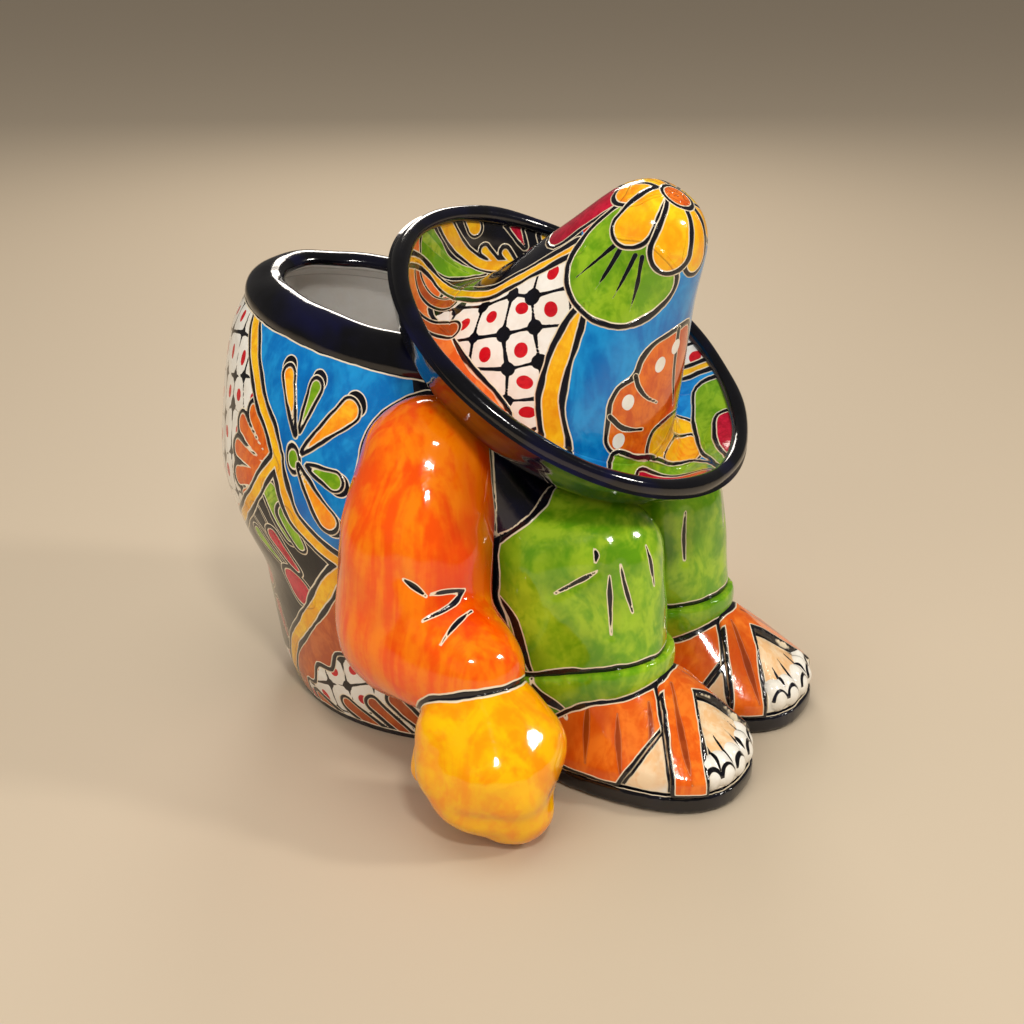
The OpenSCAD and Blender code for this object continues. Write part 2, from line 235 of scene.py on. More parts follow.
# glaze colours: thin, pooled, deep, stroke scale, how drawn out upright, how much of the deep colour
glazes = {
    "white": (shade(248, 245, 236), shade(240, 234, 222), shade(228, 218, 200), 60, 1.0, 0.25),
    # the inside glaze is the white glaze brightened as painted light, so the pot's inside reads as lit
    "litLining": (shade(255, 254, 250), shade(252, 250, 244), shade(244, 240, 232), 60, 1.0, 0.25),
    "blue": (shade(26, 150, 218), shade(0, 112, 190), shade(0, 78, 156), 45, 0.5, 0.75),
    "black": (shade(14, 13, 20), shade(9, 9, 14), shade(22, 24, 44), 50, 1.0, 0.5),
    "cobalt": (shade(8, 8, 14), shade(5, 5, 9), shade(12, 14, 66), 50, 1.0, 0.45),
    "yellow": (shade(255, 200, 30), shade(244, 168, 12), shade(228, 140, 6), 90, 0.8, 0.5),
    "orange": (shade(255, 188, 30), shade(250, 146, 16), shade(236, 106, 8), 80, 0.7, 0.5),
    "gold": (shade(255, 206, 26), shade(254, 172, 14), shade(246, 134, 8), 70, 0.7, 0.5),
    "rust": (shade(240, 120, 24), shade(214, 84, 16), shade(176, 60, 14), 80, 0.7, 0.6),
    "orangeEdge": (shade(252, 150, 70), shade(240, 110, 40), shade(214, 84, 24), 80, 0.7, 0.5),
    "brown": (shade(206, 104, 40), shade(184, 78, 26), shade(146, 58, 20), 80, 0.7, 0.6),
    "green": (shade(150, 190, 36), shade(104, 158, 16), shade(72, 122, 10), 70, 0.8, 0.6),
    "leaf": (shade(170, 196, 60), shade(112, 158, 20), shade(76, 120, 14), 110, 0.8, 0.6),
    "crimson": (shade(214, 24, 60), shade(176, 6, 40), shade(128, 2, 30), 110, 1.0, 0.6),
    "red": (shade(216, 22, 34), shade(196, 10, 30), shade(160, 6, 24), 160, 1.0, 0.4),
    "navy": (shade(24, 26, 96), shade(14, 14, 62), shade(8, 8, 40), 110, 1.0, 0.5),
    "sleeve": (shade(255, 132, 4), shade(248, 84, 0), shade(222, 52, 0), 46, 0.16, 0.7),
    "hand": (shade(255, 190, 0), shade(252, 156, 0), shade(240, 122, 0), 42, 0.9, 0.7),
    "trouser": (shade(166, 204, 40), shade(106, 166, 16), shade(76, 132, 8), 52, 0.7, 0.5),
    "skin": (shade(250, 222, 182), shade(244, 196, 140), shade(236, 172, 108), 80, 0.8, 0.5),
    "strap": (shade(248, 128, 36), shade(230, 94, 16), shade(190, 70, 12), 70, 0.35, 0.6),
    "umber": (shade(168, 70, 20), shade(146, 56, 14), shade(120, 44, 12), 70, 0.5, 0.5),
    "headClay": (shade(196, 120, 70), shade(170, 92, 48), shade(130, 66, 32), 60, 0.8, 0.5),
}


def paintMaterial(name, base, layers=(), lineDepth=0.5, gloss=0.09):
    # base glaze, then (attribute, glaze, line width, halo width) painted over it in order
    material = bpy.data.materials.new(name)
    material.use_nodes = True
    tree = material.node_tree
    shader = tree.nodes["Principled BSDF"]
    brushed = {}

    def glaze(kind):
        if kind not in brushed:
            thin, pooled, deep, strokes, along, share = glazes[kind]
            brushed[kind] = placeGroup(tree, brushGroup, Thin=thin, Pooled=pooled, Deep=deep,
                                       Strokes=float(strokes),
                                       Along=float(along), Deepness=float(share))
        return brushed[kind]

    colour, height = glaze(base).outputs["Color"], 0.0
    for attribute, kind, line, halo, *soft in layers:
        far = addNode(tree, "ShaderNodeAttribute", [("attribute_name", attribute)]).outputs["Fac"]
        fill = colour if kind is None else glaze(kind).outputs["Color"]
        step = placeGroup(tree, paintGroup, Under=colour, Distance=far, Fill=fill, Line=float(line),
                          Halo=float(halo),
                          Height=height, Soft=soft[0] if soft else 0.1)
        colour, height = step.outputs["Color"], step.outputs["Height"]
    ripple = calc(tree, "MULTIPLY", glaze(base).outputs["Height"], 0.8)
    relief = calc(tree, "ADD", calc(tree, "MULTIPLY", height, lineDepth), ripple)
    bump = addNode(tree, "ShaderNodeBump", Strength=1.0, Distance=0.0011, Height=relief)
    smear = objectNoise(tree, 30.0, 3.0)
    tree.links.new(colour, shader.inputs["Base Color"])
    tree.links.new(softStep(tree, smear, 0.3, 0.75, gloss, gloss + 0.07), shader.inputs["Roughness"])
    tree.links.new(bump.outputs[0], shader.inputs["Normal"])
    shader.inputs["Coat Weight"].default_value = 0.35
    shader.inputs["Coat Roughness"].default_value = 0.03
    shader.inputs["IOR"].default_value = 1.52
    return material


# drawing: signed distances in millimetres, negative inside a shape


def smoothPath(points, steps=6, closed=False):
    pts = np.array(points, float)
    if closed:
        ring = np.vstack([pts[-1:], pts, pts[:2]])
    else:
        ring = np.vstack([2 * pts[0] - pts[1], pts, 2 * pts[-1] - pts[-2]])
    out = []
    for k in range(len(ring) - 3):
        a, b, c, d = ring[k:k + 4]
        for t in np.arange(steps) / steps:
            out.append(0.5 * (2 * b + (c - a) * t + (2 * a - 5 * b + 4 * c - d) * t ** 2
                              + (3 * b - a - 3 * c + d) * t ** 3))
    if not closed:
        out.append(pts[-1])
    return np.array(out)


def toSegment(spots, start, end):
    along = np.asarray(end, float) - np.asarray(start, float)
    reach = np.clip(((spots - start) @ along) / max(along @ along, 1e-9), 0, 1)
    return np.linalg.norm(spots - start - reach[:, None] * along, axis=1), reach


def band(spots, points, width, steps=5):
    path = smoothPath(points, steps)
    widths = np.interp(np.linspace(0, 1, len(path)), np.linspace(0, 1, len(np.atleast_1d(width))),
                       np.atleast_1d(width))
    best = np.full(len(spots), 1e6)
    for k in range(len(path) - 1):
        far, reach = toSegment(spots, path[k], path[k + 1])
        best = np.minimum(best, far - (widths[k] + (widths[k + 1] - widths[k]) * reach) / 2)
    return best


def petal(spots, root, tip, width, thin=0.15):
    # narrow at the root, full and round at the tip
    root, tip = np.array(root, float), np.array(tip, float)
    line = tip - root
    length = max(np.linalg.norm(line), 1e-6)
    centre = tip - line / length * width / 2
    far, reach = toSegment(spots, root, centre)
    return far - width / 2 * (thin + (1 - thin) * reach ** 0.8)


def panel(spots, outline, steps=5):
    ring = smoothPath(outline, steps, closed=True) if steps > 1 else np.array(outline, float)
    best, inside = np.full(len(spots), 1e6), np.zeros(len(spots), bool)
    for k in range(len(ring)):
        a, b = ring[k - 1], ring[k]
        best = np.minimum(best, toSegment(spots, a, b)[0])
        crosses = (a[1] > spots[:, 1]) != (b[1] > spots[:, 1])
        rise = b[1] - a[1] if abs(b[1] - a[1]) > 1e-9 else 1e-9
        inside ^= crosses & (spots[:, 0] < (b[0] - a[0]) * (spots[:, 1] - a[1]) / rise + a[0])
    return np.where(inside, -best, best)


def spot(spots, centre, wide, tall=None, turn=0.0):
    tall = tall or wide
    off = spots - np.array(centre, float)
    ca, sa = math.cos(math.radians(turn)), math.sin(math.radians(turn))
    u, v = (off[:, 0] * ca + off[:, 1] * sa) / wide, (off[:, 1] * ca - off[:, 0] * sa) / tall
    return (np.hypot(u, v) - 1) * min(wide, tall)


def union(*shapes):
    return np.minimum.reduce(shapes)


def within(shape, limit):
    return np.maximum(shape, limit)


def knottedNet(spots, low, high, pitch, turn, seed, lineWidth=1.5, knot=2.5, dot=2.6):
    # hand-drawn lattice: strokes between loose corners, a blot on each corner and a dot in each mesh
    rng = np.random.default_rng(seed)
    across, down = int((high[0] - low[0]) / pitch) + 4, int((high[1] - low[1]) / pitch) + 4
    middle = (np.array(low) + np.array(high)) / 2
    ca, sa = math.cos(math.radians(turn)), math.sin(math.radians(turn))
    grid = np.array([[(i - across / 2, j - down / 2) for j in range(down + 1)] for i in range(across + 1)],
                    float) * pitch
    grid = grid @ np.array([[ca, sa], [-sa, ca]]) + middle + rng.normal(0, pitch * 0.09, grid.shape)
    net, dots = np.full(len(spots), 1e6), np.full(len(spots), 1e6)
    for i in range(across + 1):
        for j in range(down + 1):
            here = grid[i, j]
            net = np.minimum(net, spot(spots, here, knot * rng.uniform(0.7, 1.15)))
            for other in ([grid[i + 1, j]] if i < across else []) + ([grid[i, j + 1]] if j < down else []):
                far, reach = toSegment(spots, here, other)
                net = np.minimum(net, far - lineWidth / 2 * (0.7 + 2.4 * (reach - 0.5) ** 2))
            if i < across and j < down:
                mesh = (here + grid[i + 1, j] + grid[i, j + 1] + grid[i + 1, j + 1]) / 4 + rng.normal(0,
                    pitch * 0.05, 2)
                dots = np.minimum(dots, spot(spots, mesh, dot * rng.uniform(0.9, 1.2),
                                             dot * rng.uniform(0.8, 1.0),
                                             rng.uniform(0, 180)))
    return net, dots


def keepAttribute(mesh, name, values):
    layer = mesh.attributes.new(name, "FLOAT", "POINT")
    layer.data.foreach_set("value", np.asarray(values, np.float32))


# clay bodies


def linkPiece(mesh, name, material, nodes, slot):
    mesh.shade_smooth()
    mesh.set_sharp_from_angle(angle=math.radians(60))
    obj = bpy.data.objects.new(name, mesh)
    bpy.context.scene.collection.objects.link(obj)
    mesh.materials.clear()
    mesh.materials.append(material)
    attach(obj, "root")
    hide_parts(*nodes)
    return obj


def spunSkin(rows, steps, place):
    # a column of points spun full circle, then each (turn, row) set in its place; returns mesh, turns and rows
    bm = bmesh.new()
    turnLayer, rowLayer = bm.verts.layers.float.new("turn"), bm.verts.layers.float.new("row")
    column = [bm.verts.new((1, 0, k)) for k in range(rows + 1)]
    edges = [bm.edges.new((column[k], column[k + 1])) for k in range(rows)]
    bmesh.ops.spin(bm, geom=column + edges, cent=(0, 0, 0), axis=(0, 0, 1), dvec=(0, 0, 0), angle=math.tau,
                   steps=steps, use_merge=True, use_normal_flip=False, use_duplicate=False)
    coords = np.array([v.co for v in bm.verts])
    turns = np.arctan2(coords[:, 1], coords[:, 0]) % math.tau
    spots = place(turns, np.round(coords[:, 2]))
    for v, co, turn in zip(bm.verts, spots, turns):
        v[turnLayer], v[rowLayer] = turn, round(v.co.z)
        v.co = co * mm
    bmesh.ops.remove_doubles(bm, verts=bm.verts, dist=1e-6)
    mesh = intoMesh(bm, "spun")
    turns, rowsAt = np.zeros(len(mesh.vertices), np.float32), np.zeros(len(mesh.vertices), np.float32)
    mesh.attributes["turn"].data.foreach_get("value", turns)
    mesh.attributes["row"].data.foreach_get("value", rowsAt)
    for name in ("turn", "row"):
        mesh.attributes.remove(mesh.attributes[name])
    return mesh, turns.astype(float), rowsAt.astype(float)


def vertexArray(mesh):
    co = np.zeros(len(mesh.vertices) * 3, np.float32)
    mesh.vertices.foreach_get("co", co)
    return co.reshape(-1, 3).astype(float)


def intoMesh(bm, name):
    bmesh.ops.recalc_face_normals(bm, faces=bm.faces)
    mesh = bpy.data.meshes.new(name)
    bm.to_mesh(mesh)
    bm.free()
    return mesh


def wrapBalls(balls, subdivisions=3, points=()):
    # one skin stretched over balls, each a place and a radius, and over any single points
    bm = bmesh.new()
    for place, radius in balls:
        bmesh.ops.create_icosphere(bm, subdivisions=subdivisions, radius=radius * mm,
                                   matrix=Matrix.Translation(Vector(place) * mm))
    for point in points:
        bm.verts.new(Vector(point) * mm)
    bmesh.ops.delete(bm, geom=bm.edges[:] + bm.faces[:], context="EDGES_FACES")
    wrapped = bmesh.ops.convex_hull(bm, input=bm.verts[:], use_existing_faces=False)
    loose = {g for g in wrapped["geom_interior"] + wrapped["geom_unused"]
             if isinstance(g, bmesh.types.BMVert) and g.is_valid}
    bmesh.ops.delete(bm, geom=list(loose), context="VERTS")
    return intoMesh(bm, "hull")


def clayBlob(hulls, voxel=2.2, relax=10, refine=1, sculpt=None, flatten=None):
    # balls wrapped in hulls, fused into one skin, relaxed, and refined
    whole = bmesh.new()
    for balls in hulls:
        part = wrapBalls(balls)
        whole.from_mesh(part)
        bpy.data.meshes.remove(part)
    return finishBlob(intoMesh(whole, "blob"), voxel, relax, refine, sculpt, flatten)


def evaluatedMesh(mesh, stack):
    carrier = bpy.data.objects.new("carrier", mesh)
    bpy.context.scene.collection.objects.link(carrier)
    for kind, settings in stack:
        modifier = carrier.modifiers.new(kind.lower(), kind)
        for key, value in settings.items():
            setattr(modifier, key, value)
    graph = bpy.context.evaluated_depsgraph_get()
    made = bpy.data.meshes.new_from_object(carrier.evaluated_get(graph))
    bpy.data.objects.remove(carrier)
    return made


def finishBlob(mesh, voxel, relax, refine, sculpt=None, flatten=None):
    mesh = evaluatedMesh(mesh, [("REMESH", {"mode": "VOXEL", "voxel_size": voxel * mm}),
                                ("SMOOTH", {"factor": 0.5, "iterations": relax})])
    if refine:
        mesh = evaluatedMesh(mesh, [("SUBSURF", {"levels": refine, "render_levels": refine})])
    if sculpt:
        co = vertexArray(mesh) * 1000
        normals = np.array([v.normal for v in mesh.vertices])
        co = sculpt(co, normals)
        mesh.vertices.foreach_set("co", (co * mm).astype(np.float32).ravel())
    if flatten is not None:
        co = vertexArray(mesh)
        co[:, 2] = np.maximum(co[:, 2], flatten * mm)
        mesh.vertices.foreach_set("co", co.astype(np.float32).ravel())
    mesh.update()
    return mesh


def nearness(mesh, others):
    # distance in millimetres from each vertex to the nearest of the other skins
    best = np.full(len(mesh.vertices), 1e3)
    for other in others:
        tree = BVHTree.FromPolygons([v.co for v in other.vertices], [p.vertices for p in other.polygons])
        reach = [tree.find_nearest(v.co, 0.02) for v in mesh.vertices]
        best = np.minimum(best, np.array([r[3] * 1000 if r[3] is not None else 20.0 for r in reach]))
    return best


def stroke3d(spots, points, width):
    # signed distance to a line drawn through space, thinning out at both ends
    path = smoothPath(points, 5)
    best = np.full(len(spots), 1e6)
    for k in range(len(path) - 1):
        far, reach = toSegment(spots, path[k], path[k + 1])
        share = (k + reach) / (len(path) - 1)
        value = far - width / 2 * (0.25 + 0.75 * np.sin(math.pi * np.clip(share, 0.02, 0.98)))
        best = np.minimum(best, value)
    return best


def sideways(points, side):
    return [(side * x, y, z) for x, y, z in points]


# the pot

pot = {
    # height, front, back and half width of the outside, from the ground up
    "stations": [(0, -52, 115, 74), (14, -54, 122, 77), (30, -56, 125, 79), (48, -58, 127, 82),
                 (66, -58, 130, 84),
                 (85, -58, 142, 86), (110, -55, 152, 86), (138, -45, 151, 79), (162, -34, 147, 68),
                 (178, -22, 139, 59)],
    "wall": 7, "floor": 8, "mouthTip": math.tan(math.radians(8.8)), "girth": 95,
    "rim": [(0, -1), (-0.4, 2.5), (1, 6.5), (4.5, 10), (9, 12.4), (13.5, 13.4), (17, 12.8), (19, 10.8),
            (19, 8.4),
            (17, 6.4), (12, 3.6), (7, -1)],
}


def easeIn(t):
    t = np.clip(t, 0, 1)
    return t * t * (3 - 2 * t)


def potStation(k):
    stations = np.array(pot["stations"], float)
    last = len(stations) - 1
    k = np.clip(k, 0, last)
    i = np.minimum(np.floor(k).astype(int), last - 1)
    t = (k - i)[:, None]
    a, b, c, d = (stations[np.clip(i + shift, 0, last)] for shift in (-1, 0, 1, 2))
    return 0.5 * (2 * b + (c - a) * t + (2 * a - 5 * b + 4 * c - d) * t ** 2 + (3 * b - a - 3 * c + d) * t ** 3)


def potRing(turns, station, inset, rise=0.0):
    half, middle = station[:, 3] - inset, (station[:, 1] + station[:, 2]) / 2
    reach = (station[:, 2] - station[:, 1]) / 2 - inset
    height = station[:, 0] + rise
    lean = pot["mouthTip"] * easeIn((height - 112) / 66)
    return np.stack([half * np.cos(turns), middle + reach * np.sin(turns),
                     height + lean * reach * np.sin(turns)], 1)


outerRows, innerRows = 150, 14


def placePotWall(turns, rows):
    topK = len(pot["stations"]) - 1
    outer = rows <= outerRows
    k = np.where(outer, rows / outerRows, 1 - (rows - outerRows - 1) / innerRows) * topK
    return potRing(turns, potStation(np.clip(k, 0, topK)), np.where(outer, 0, pot["wall"]))


def potPattern(turns, rows):
    # pattern space: distance round from the middle of the back, positive towards the right arm, and height
    topK = len(pot["stations"]) - 1
    heights = potStation(np.clip(rows / outerRows, 0, 1) * topK)[:, 0]
    aroundBy = (np.degrees(turns) - 90 + 180) % 360 - 180
    return np.stack([np.radians(aroundBy) * pot["girth"], heights], 1)


wavyBand = [(80, 186), (86, 176), (94, 168), (103, 158), (111, 149), (119, 142), (124, 134), (127, 125),
            (130, 116),
            (134, 107), (141, 100), (150, 93), (164, 86)]
lowBand = [(156, 90), (146, 81), (130, 66), (113, 48), (96, 30), (84, 8), (80, -4)]
crossBand = [(126, 132), (116, 121), (108, 111), (94, 99), (76, 88), (56, 84)]


def drawPotWall(mesh, turns, rows):
    spots = potPattern(turns, rows)
    side = spots[:, 0] < 0
    spots = np.stack([np.abs(spots[:, 0]), spots[:, 1]], 1)
    # the left half is brushed by the same hand, never quite the same
    spots[side] += np.stack([1.6 * np.sin(spots[side, 1] / 17), 1.4 * np.sin(spots[side, 0] / 15)], 1)
    shapes = {}
    net, dots = knottedNet(spots, (-20, -10), (190, 190), 15.5, 12, 3)
    shapes["net"], shapes["dots"] = net, dots
    fan = [((125, 127), (102, 147), 11), ((124, 126), (92, 139), 10), ((122, 124), (88, 127), 10),
           ((122, 122), (89, 114), 11),
           ((124, 120), (96, 103), 12)]
    shapes["fan"] = union(*[petal(spots, root, tip, width, 0.5) for root, tip, width in fan])
    shapes["bluePanel"] = panel(spots, [(78, 192), (86, 176), (103, 158), (119, 142), (127, 125), (134, 107),
                                        (150, 93),
                                        (180, 80), (215, 100), (215, 192)])
    bigPetals = [((135.5, 143), (125, 168), 8), ((140, 137), (167, 163), 10), ((138, 131), (155, 106), 10)]
    shapes["petalTips"] = union(petal(spots, (134, 150), (124, 171.5), 9),
                                petal(spots, (141, 155), (146.5, 171), 8),
                                petal(spots, (150, 147), (170, 166), 10.5),
                                petal(spots, (148, 130), (164, 125.5), 10.5),
                                petal(spots, (146, 122), (157.5, 104), 10))
    shapes["petals"] = union(*[petal(spots, root, tip, width) for root, tip, width in bigPetals])
    shapes["greenPetals"] = union(petal(spots, (137.5, 145), (145, 167.5), 7),
                                  petal(spots, (143, 132), (161, 127), 9),
                                  spot(spots, (135, 133), 3.6, 5.4, 10))
    shapes["blackPanel"] = panel(spots, [(128, 128), (131, 112), (139, 100), (152, 91), (142, 78), (128, 64),
                                         (112, 47), (92, 24),
                                         (60, 20), (38, 40), (34, 62), (52, 82), (74, 90), (94, 99),
                                         (112, 115)])
    shapes["greyLeaf"] = petal(spots, (127, 96), (119, 121), 12, 0.5)
    shapes["darkLeaf"] = petal(spots, (118, 84), (104, 106), 10, 0.4)
    shapes["panelLeaf"] = union(petal(spots, (133, 94), (127, 112), 11, 0.6),
                                petal(spots, (112, 80), (97, 92), 8, 0.4),
                                petal(spots, (70, 44), (48, 66), 13, 0.3),
                                petal(spots, (72, 42), (58, 74), 12, 0.3))
    shapes["cherry"] = union(spot(spots, (117, 69), 9.5, 10), petal(spots, (124, 80), (112, 97), 10, 0.5),
                             spot(spots, (74, 62), 9, 8), petal(spots, (88, 30), (80, 50), 8, 0.4))
    shapes["brownPanel"] = panel(spots, [(158, 84), (146, 77), (130, 61), (113, 43), (96, 26), (88, 8),
                                         (86, -4), (98, 0),
                                         (103, 13), (112, 15), (118, 27), (129, 28), (134, 39), (147, 42),
                                         (154, 54), (172, 58),
                                         (172, 84)], 4)
    baseFan = [((178, -6), (150, 19), 9), ((186, 2), (163, 24), 9), ((168, -8), (132, 13), 9),
               ((150, -10), (106, 7), 8),
               ((62, -8), (44, 14), 10), ((60, -8), (26, 10), 9), ((64, -8), (66, 14), 9)]
    shapes["baseFan"] = union(*[petal(spots, root, tip, width, 0.7) for root, tip, width in baseFan])
    # a wide flower fills the middle of the back, where the two halves meet
    daisy = []
    for k in range(9):
        lean = math.radians(20 * k - 80 + 90)
        daisy.append(petal(spots, (9 * math.cos(lean), 128 + 9 * math.sin(lean)),
                           (31 * math.cos(lean), 128 + 31 * math.sin(lean)), 13, 0.3))
        daisy.append(petal(spots, (9 * math.cos(lean), 128 - 9 * math.sin(lean)),
                           (31 * math.cos(lean), 128 - 31 * math.sin(lean)), 13, 0.3))
    shapes["daisy"] = union(*daisy)
    shapes["daisyHeart"] = spot(spots, (0, 128), 10)
    shapes["backLeaves"] = union(petal(spots, (6, 88), (34, 96), 13, 0.3),
                                 petal(spots, (4, 86), (26, 72), 12, 0.3),
                                 petal(spots, (8, 46), (24, 30), 11, 0.3))
    shapes["bands"] = union(band(spots, wavyBand, (9, 8, 7, 7, 7.5, 8)), band(spots, lowBand, (7, 9, 9, 8)),
                            band(spots, crossBand, (6, 6.5, 6.5, 6)),
                            band(spots, [(-5, 60), (14, 58), (34, 60), (52, 84)], 6))
    shapes["foot"] = spots[:, 1] - 2.6
    shapes["mouthLine"] = 177.4 - spots[:, 1]
    for name, values in shapes.items():
        inner = rows > outerRows
        keepAttribute(mesh, name, np.where(inner, 30.0, values))
    # the pot's inner wall takes the brightened white glaze: painted light
    keepAttribute(mesh, "litLining", np.where(rows > outerRows + 0.5, -10.0, 10.0))
    keepAttribute(mesh, "front", np.where((spots[:, 0] > 196) & (rows <= outerRows), -9.0, 9.0))


potMaterial = paintMaterial("paintedPot", "white", [
    ("net", "black", 0, 0), ("dots", "red", 0, 0), ("fan", "rust", 1.9, 0.55), ("bluePanel", "blue", 0, 0),
    ("petalTips", "black", 0, 0.5), ("greenPetals", "green", 1.4, 0.5), ("petals", "orange", 1.4, 0.5),
    ("blackPanel", "black", 0, 0.55), ("darkLeaf", "black", 0.8, 0.55), ("greyLeaf", "leaf", 1.5, 0.6),
    ("panelLeaf", "green", 1.5, 0.5), ("cherry", "crimson", 1.5, 0.55), ("brownPanel", "brown", 1.8, 0.55),
    ("baseFan", "brown", 2.0, 0.55), ("daisy", "orange", 1.7, 0.5), ("daisyHeart", "crimson", 1.7, 0.5),
    ("backLeaves", "green", 1.7, 0.5), ("bands", "yellow", 2.0, 0.55), ("front", "black", 0, 0),
    ("sleeveJoin", "black", 2.2, 0.6),
    ("foot", "black", 0, 0.6), ("mouthLine", "black", 0, 0.6), ("litLining", "litLining", 0, 0)])
print("pot painted")

potMesh, potTurns, potRows = spunSkin(outerRows + innerRows + 2, 540, placePotWall)
drawPotWall(potMesh, potTurns, potRows)


def placeFloor(turns, rows):
    levels = np.array([[0, 0.0], [0, 0.5], [0, 1.0], [8, 1.0], [8, 0.94], [8, 0.5], [8, 0.0]])[np.clip(rows, 0,
        6).astype(int)]
    station = potStation(levels[:, 0] / 14)
    edge = potRing(turns, station, pot["wall"])
    middle = np.array([0, 33, 0])
    flat = middle + (edge - middle) * levels[:, 1:2]
    flat[:, 2] = levels[:, 0]
    return flat


def placeRim(turns, rows):
    path = smoothPath(pot["rim"], 4)
    section = path[np.clip(rows, 0, len(path) - 1).astype(int)]
    closing = rows > len(path) - 1
    section[closing] = path[0]
    top = np.repeat(np.array([pot["stations"][-1]], float), len(turns), 0)
    half, middle = top[:, 3] - section[:, 0], (top[:, 1] + top[:, 2]) / 2
    reach = (top[:, 2] - top[:, 1]) / 2 - section[:, 0]
    lumps = 0.35 * np.sin(5 * turns + 0.8) * easeIn(section[:, 1] / 8) + 0.25 * np.sin(11
        * turns)* easeIn(section[:, 1] / 8)
    return np.stack([half * np.cos(turns), middle + reach * np.sin(turns),
                     top[:, 0] + section[:, 1] + lumps + pot["mouthTip"] * reach * np.sin(turns)], 1)


# the rim's inner side and the pot's floor take the brightened white glaze: painted light
rimMaterial = paintMaterial("cobaltRim", "cobalt", [("rimLitLining", "litLining", 0, 0)])
floorMesh, *_ = spunSkin(6, 96, placeFloor)
rimRows = len(smoothPath(pot["rim"], 4))
rimMesh, _, rimRowsAt = spunSkin(rimRows, 220, placeRim)
keepAttribute(rimMesh, "rimLitLining", 33.0 - rimRowsAt)
floorMaterial = paintMaterial("litWhiteLining", "litLining")
print("pot, floor and rim shaped")

# the hat

hat = {
    "centre": (0, -34, 181.4), "tilt": 33.2, "thickness": 6, "rollRadius": 3.9, "edge": 88.0, "frontSwell": 4.6,
    "brim": [(88, 2), (85, -2.4), (81, -7.5), (77.5, -12.5), (73.5, -16.5), (69, -18.8), (64.5, -19),
             (60.5, -17), (57, -13)],
    "crown": [(57, -13), (53.6, -7), (50.3, 0), (47, 7.5), (43.8, 15.5), (40.6, 24), (37.6, 32.5), (34.6, 41),
              (31.6, 49.5),
              (28.8, 58), (26, 66), (23, 73), (19, 78.8), (14, 83), (8.5, 84.9), (3, 85.5), (0, 85.5)],
}
hatFrame = Matrix.Translation(hat["centre"]) @ Matrix.Rotation(math.radians(hat["tilt"]), 4, "X")


def onHat(points):
    turn = np.array(hatFrame.to_3x3())
    return np.asarray(points, float) @ turn.T + np.array(hat["centre"], float)


def alongProfile(points, steps):
    path = smoothPath(points, 12)
    lengths = np.concatenate([[0], np.cumsum(np.linalg.norm(np.diff(path, axis=0), axis=1))])
    at = np.linspace(0, lengths[-1], steps)
    return np.stack([np.interp(at, lengths, path[:, 0]), np.interp(at, lengths, path[:, 1])], 1), at


def hatSheet(points, upperRows, lowerRows, tuckRow, tuck):
    # upper line of a spun clay wall, its lower side offset by the thickness, joined at both ends
    upper, at = alongProfile(points, upperRows)
    slope = np.gradient(upper, axis=0)
    slope /= np.linalg.norm(slope, axis=1)[:, None]
    under = upper + np.stack([-slope[:, 1], slope[:, 0]],
                             1) * hat["thickness"] * (1 if upper[-1, 0] < upper[0, 0] else -1)
    if under[len(under) // 2, 1] > upper[len(upper) // 2, 1]:
        under = 2 * upper - under
    under[:, 0] = np.maximum(under[:, 0], 0)
    under = under[np.linspace(len(under) - 1, 0, lowerRows).round().astype(int)]
    upper[tuckRow] += tuck  # the end row slips under the neighbouring piece
    loop = np.vstack([upper, under, upper[:1]])
    return loop, at


def spinHat(points, upperRows, lowerRows, steps, tuckRow, tuck):
    loop, at = hatSheet(points, upperRows, lowerRows, tuckRow, tuck)

    def place(turns, rows):
        section = loop[np.clip(rows, 0, len(loop) - 1).astype(int)]
        # the crown stands fuller over the front and dies away towards the tip and the brim's edge
        fuller = (easeIn((62 - section[:, 1]) / 60) * (1 - easeIn((section[:, 0] - 57) / 27))
                  * (0.5 - 0.5 * np.sin(turns)) ** 1.3)
        reach = section[:, 0] + hat["frontSwell"] * fuller * (section[:, 0] > 20)
        return onHat(np.stack([reach * np.cos(turns), reach * np.sin(turns), section[:, 1]], 1))

    mesh, turns, rows = spunSkin(len(loop) - 1, steps, place)
    rows = np.where(rows > len(loop) - 1.5, 0, rows)  # the last row closes on the first
    upperSide = rows < upperRows
    return mesh, turns, np.where(upperSide, np.interp(rows, np.arange(upperRows), at), 0), upperSide


def drawOnHat(turns, fromTip, centre, shape):
    # shape drawn flat round one line of longitude, its distances corrected for the curve of the clay
    def flat(turnShift, downShift):
        off = (np.degrees(turns) - centre + 180) % 360 - 180
        rho = np.maximum(radiusAt(fromTip + downShift), 2)
        return np.stack([np.radians(off) * rho + turnShift, fromTip + downShift], 1)

    step = 0.5
    here = shape(flat(0, 0))
    across, down = (shape(flat(step, 0)) - here) / step, (shape(flat(0, step)) - here) / step
    return here / np.clip(np.hypot(across, down), 0.55, 2.2)


crownPath, crownAt = alongProfile(hat["crown"][::-1], 200)
brimPath, brimAt = alongProfile(hat["brim"][::-1], 120)
crownLength = crownAt[-1]
allAt = np.concatenate([crownAt, crownLength + brimAt[1:]])
allRadius = np.concatenate([crownPath[:, 0], brimPath[1:, 0]])


def radiusAt(fromTip):
    return np.interp(fromTip, allAt, allRadius)


def hatPoints(centre, points):
    # given (turn in degrees, distance from the tip) as flat drawing points round one line of longitude
    return [(math.radians((turn - centre + 180) % 360 - 180) * float(radiusAt(down)), down)
            for turn, down in points]


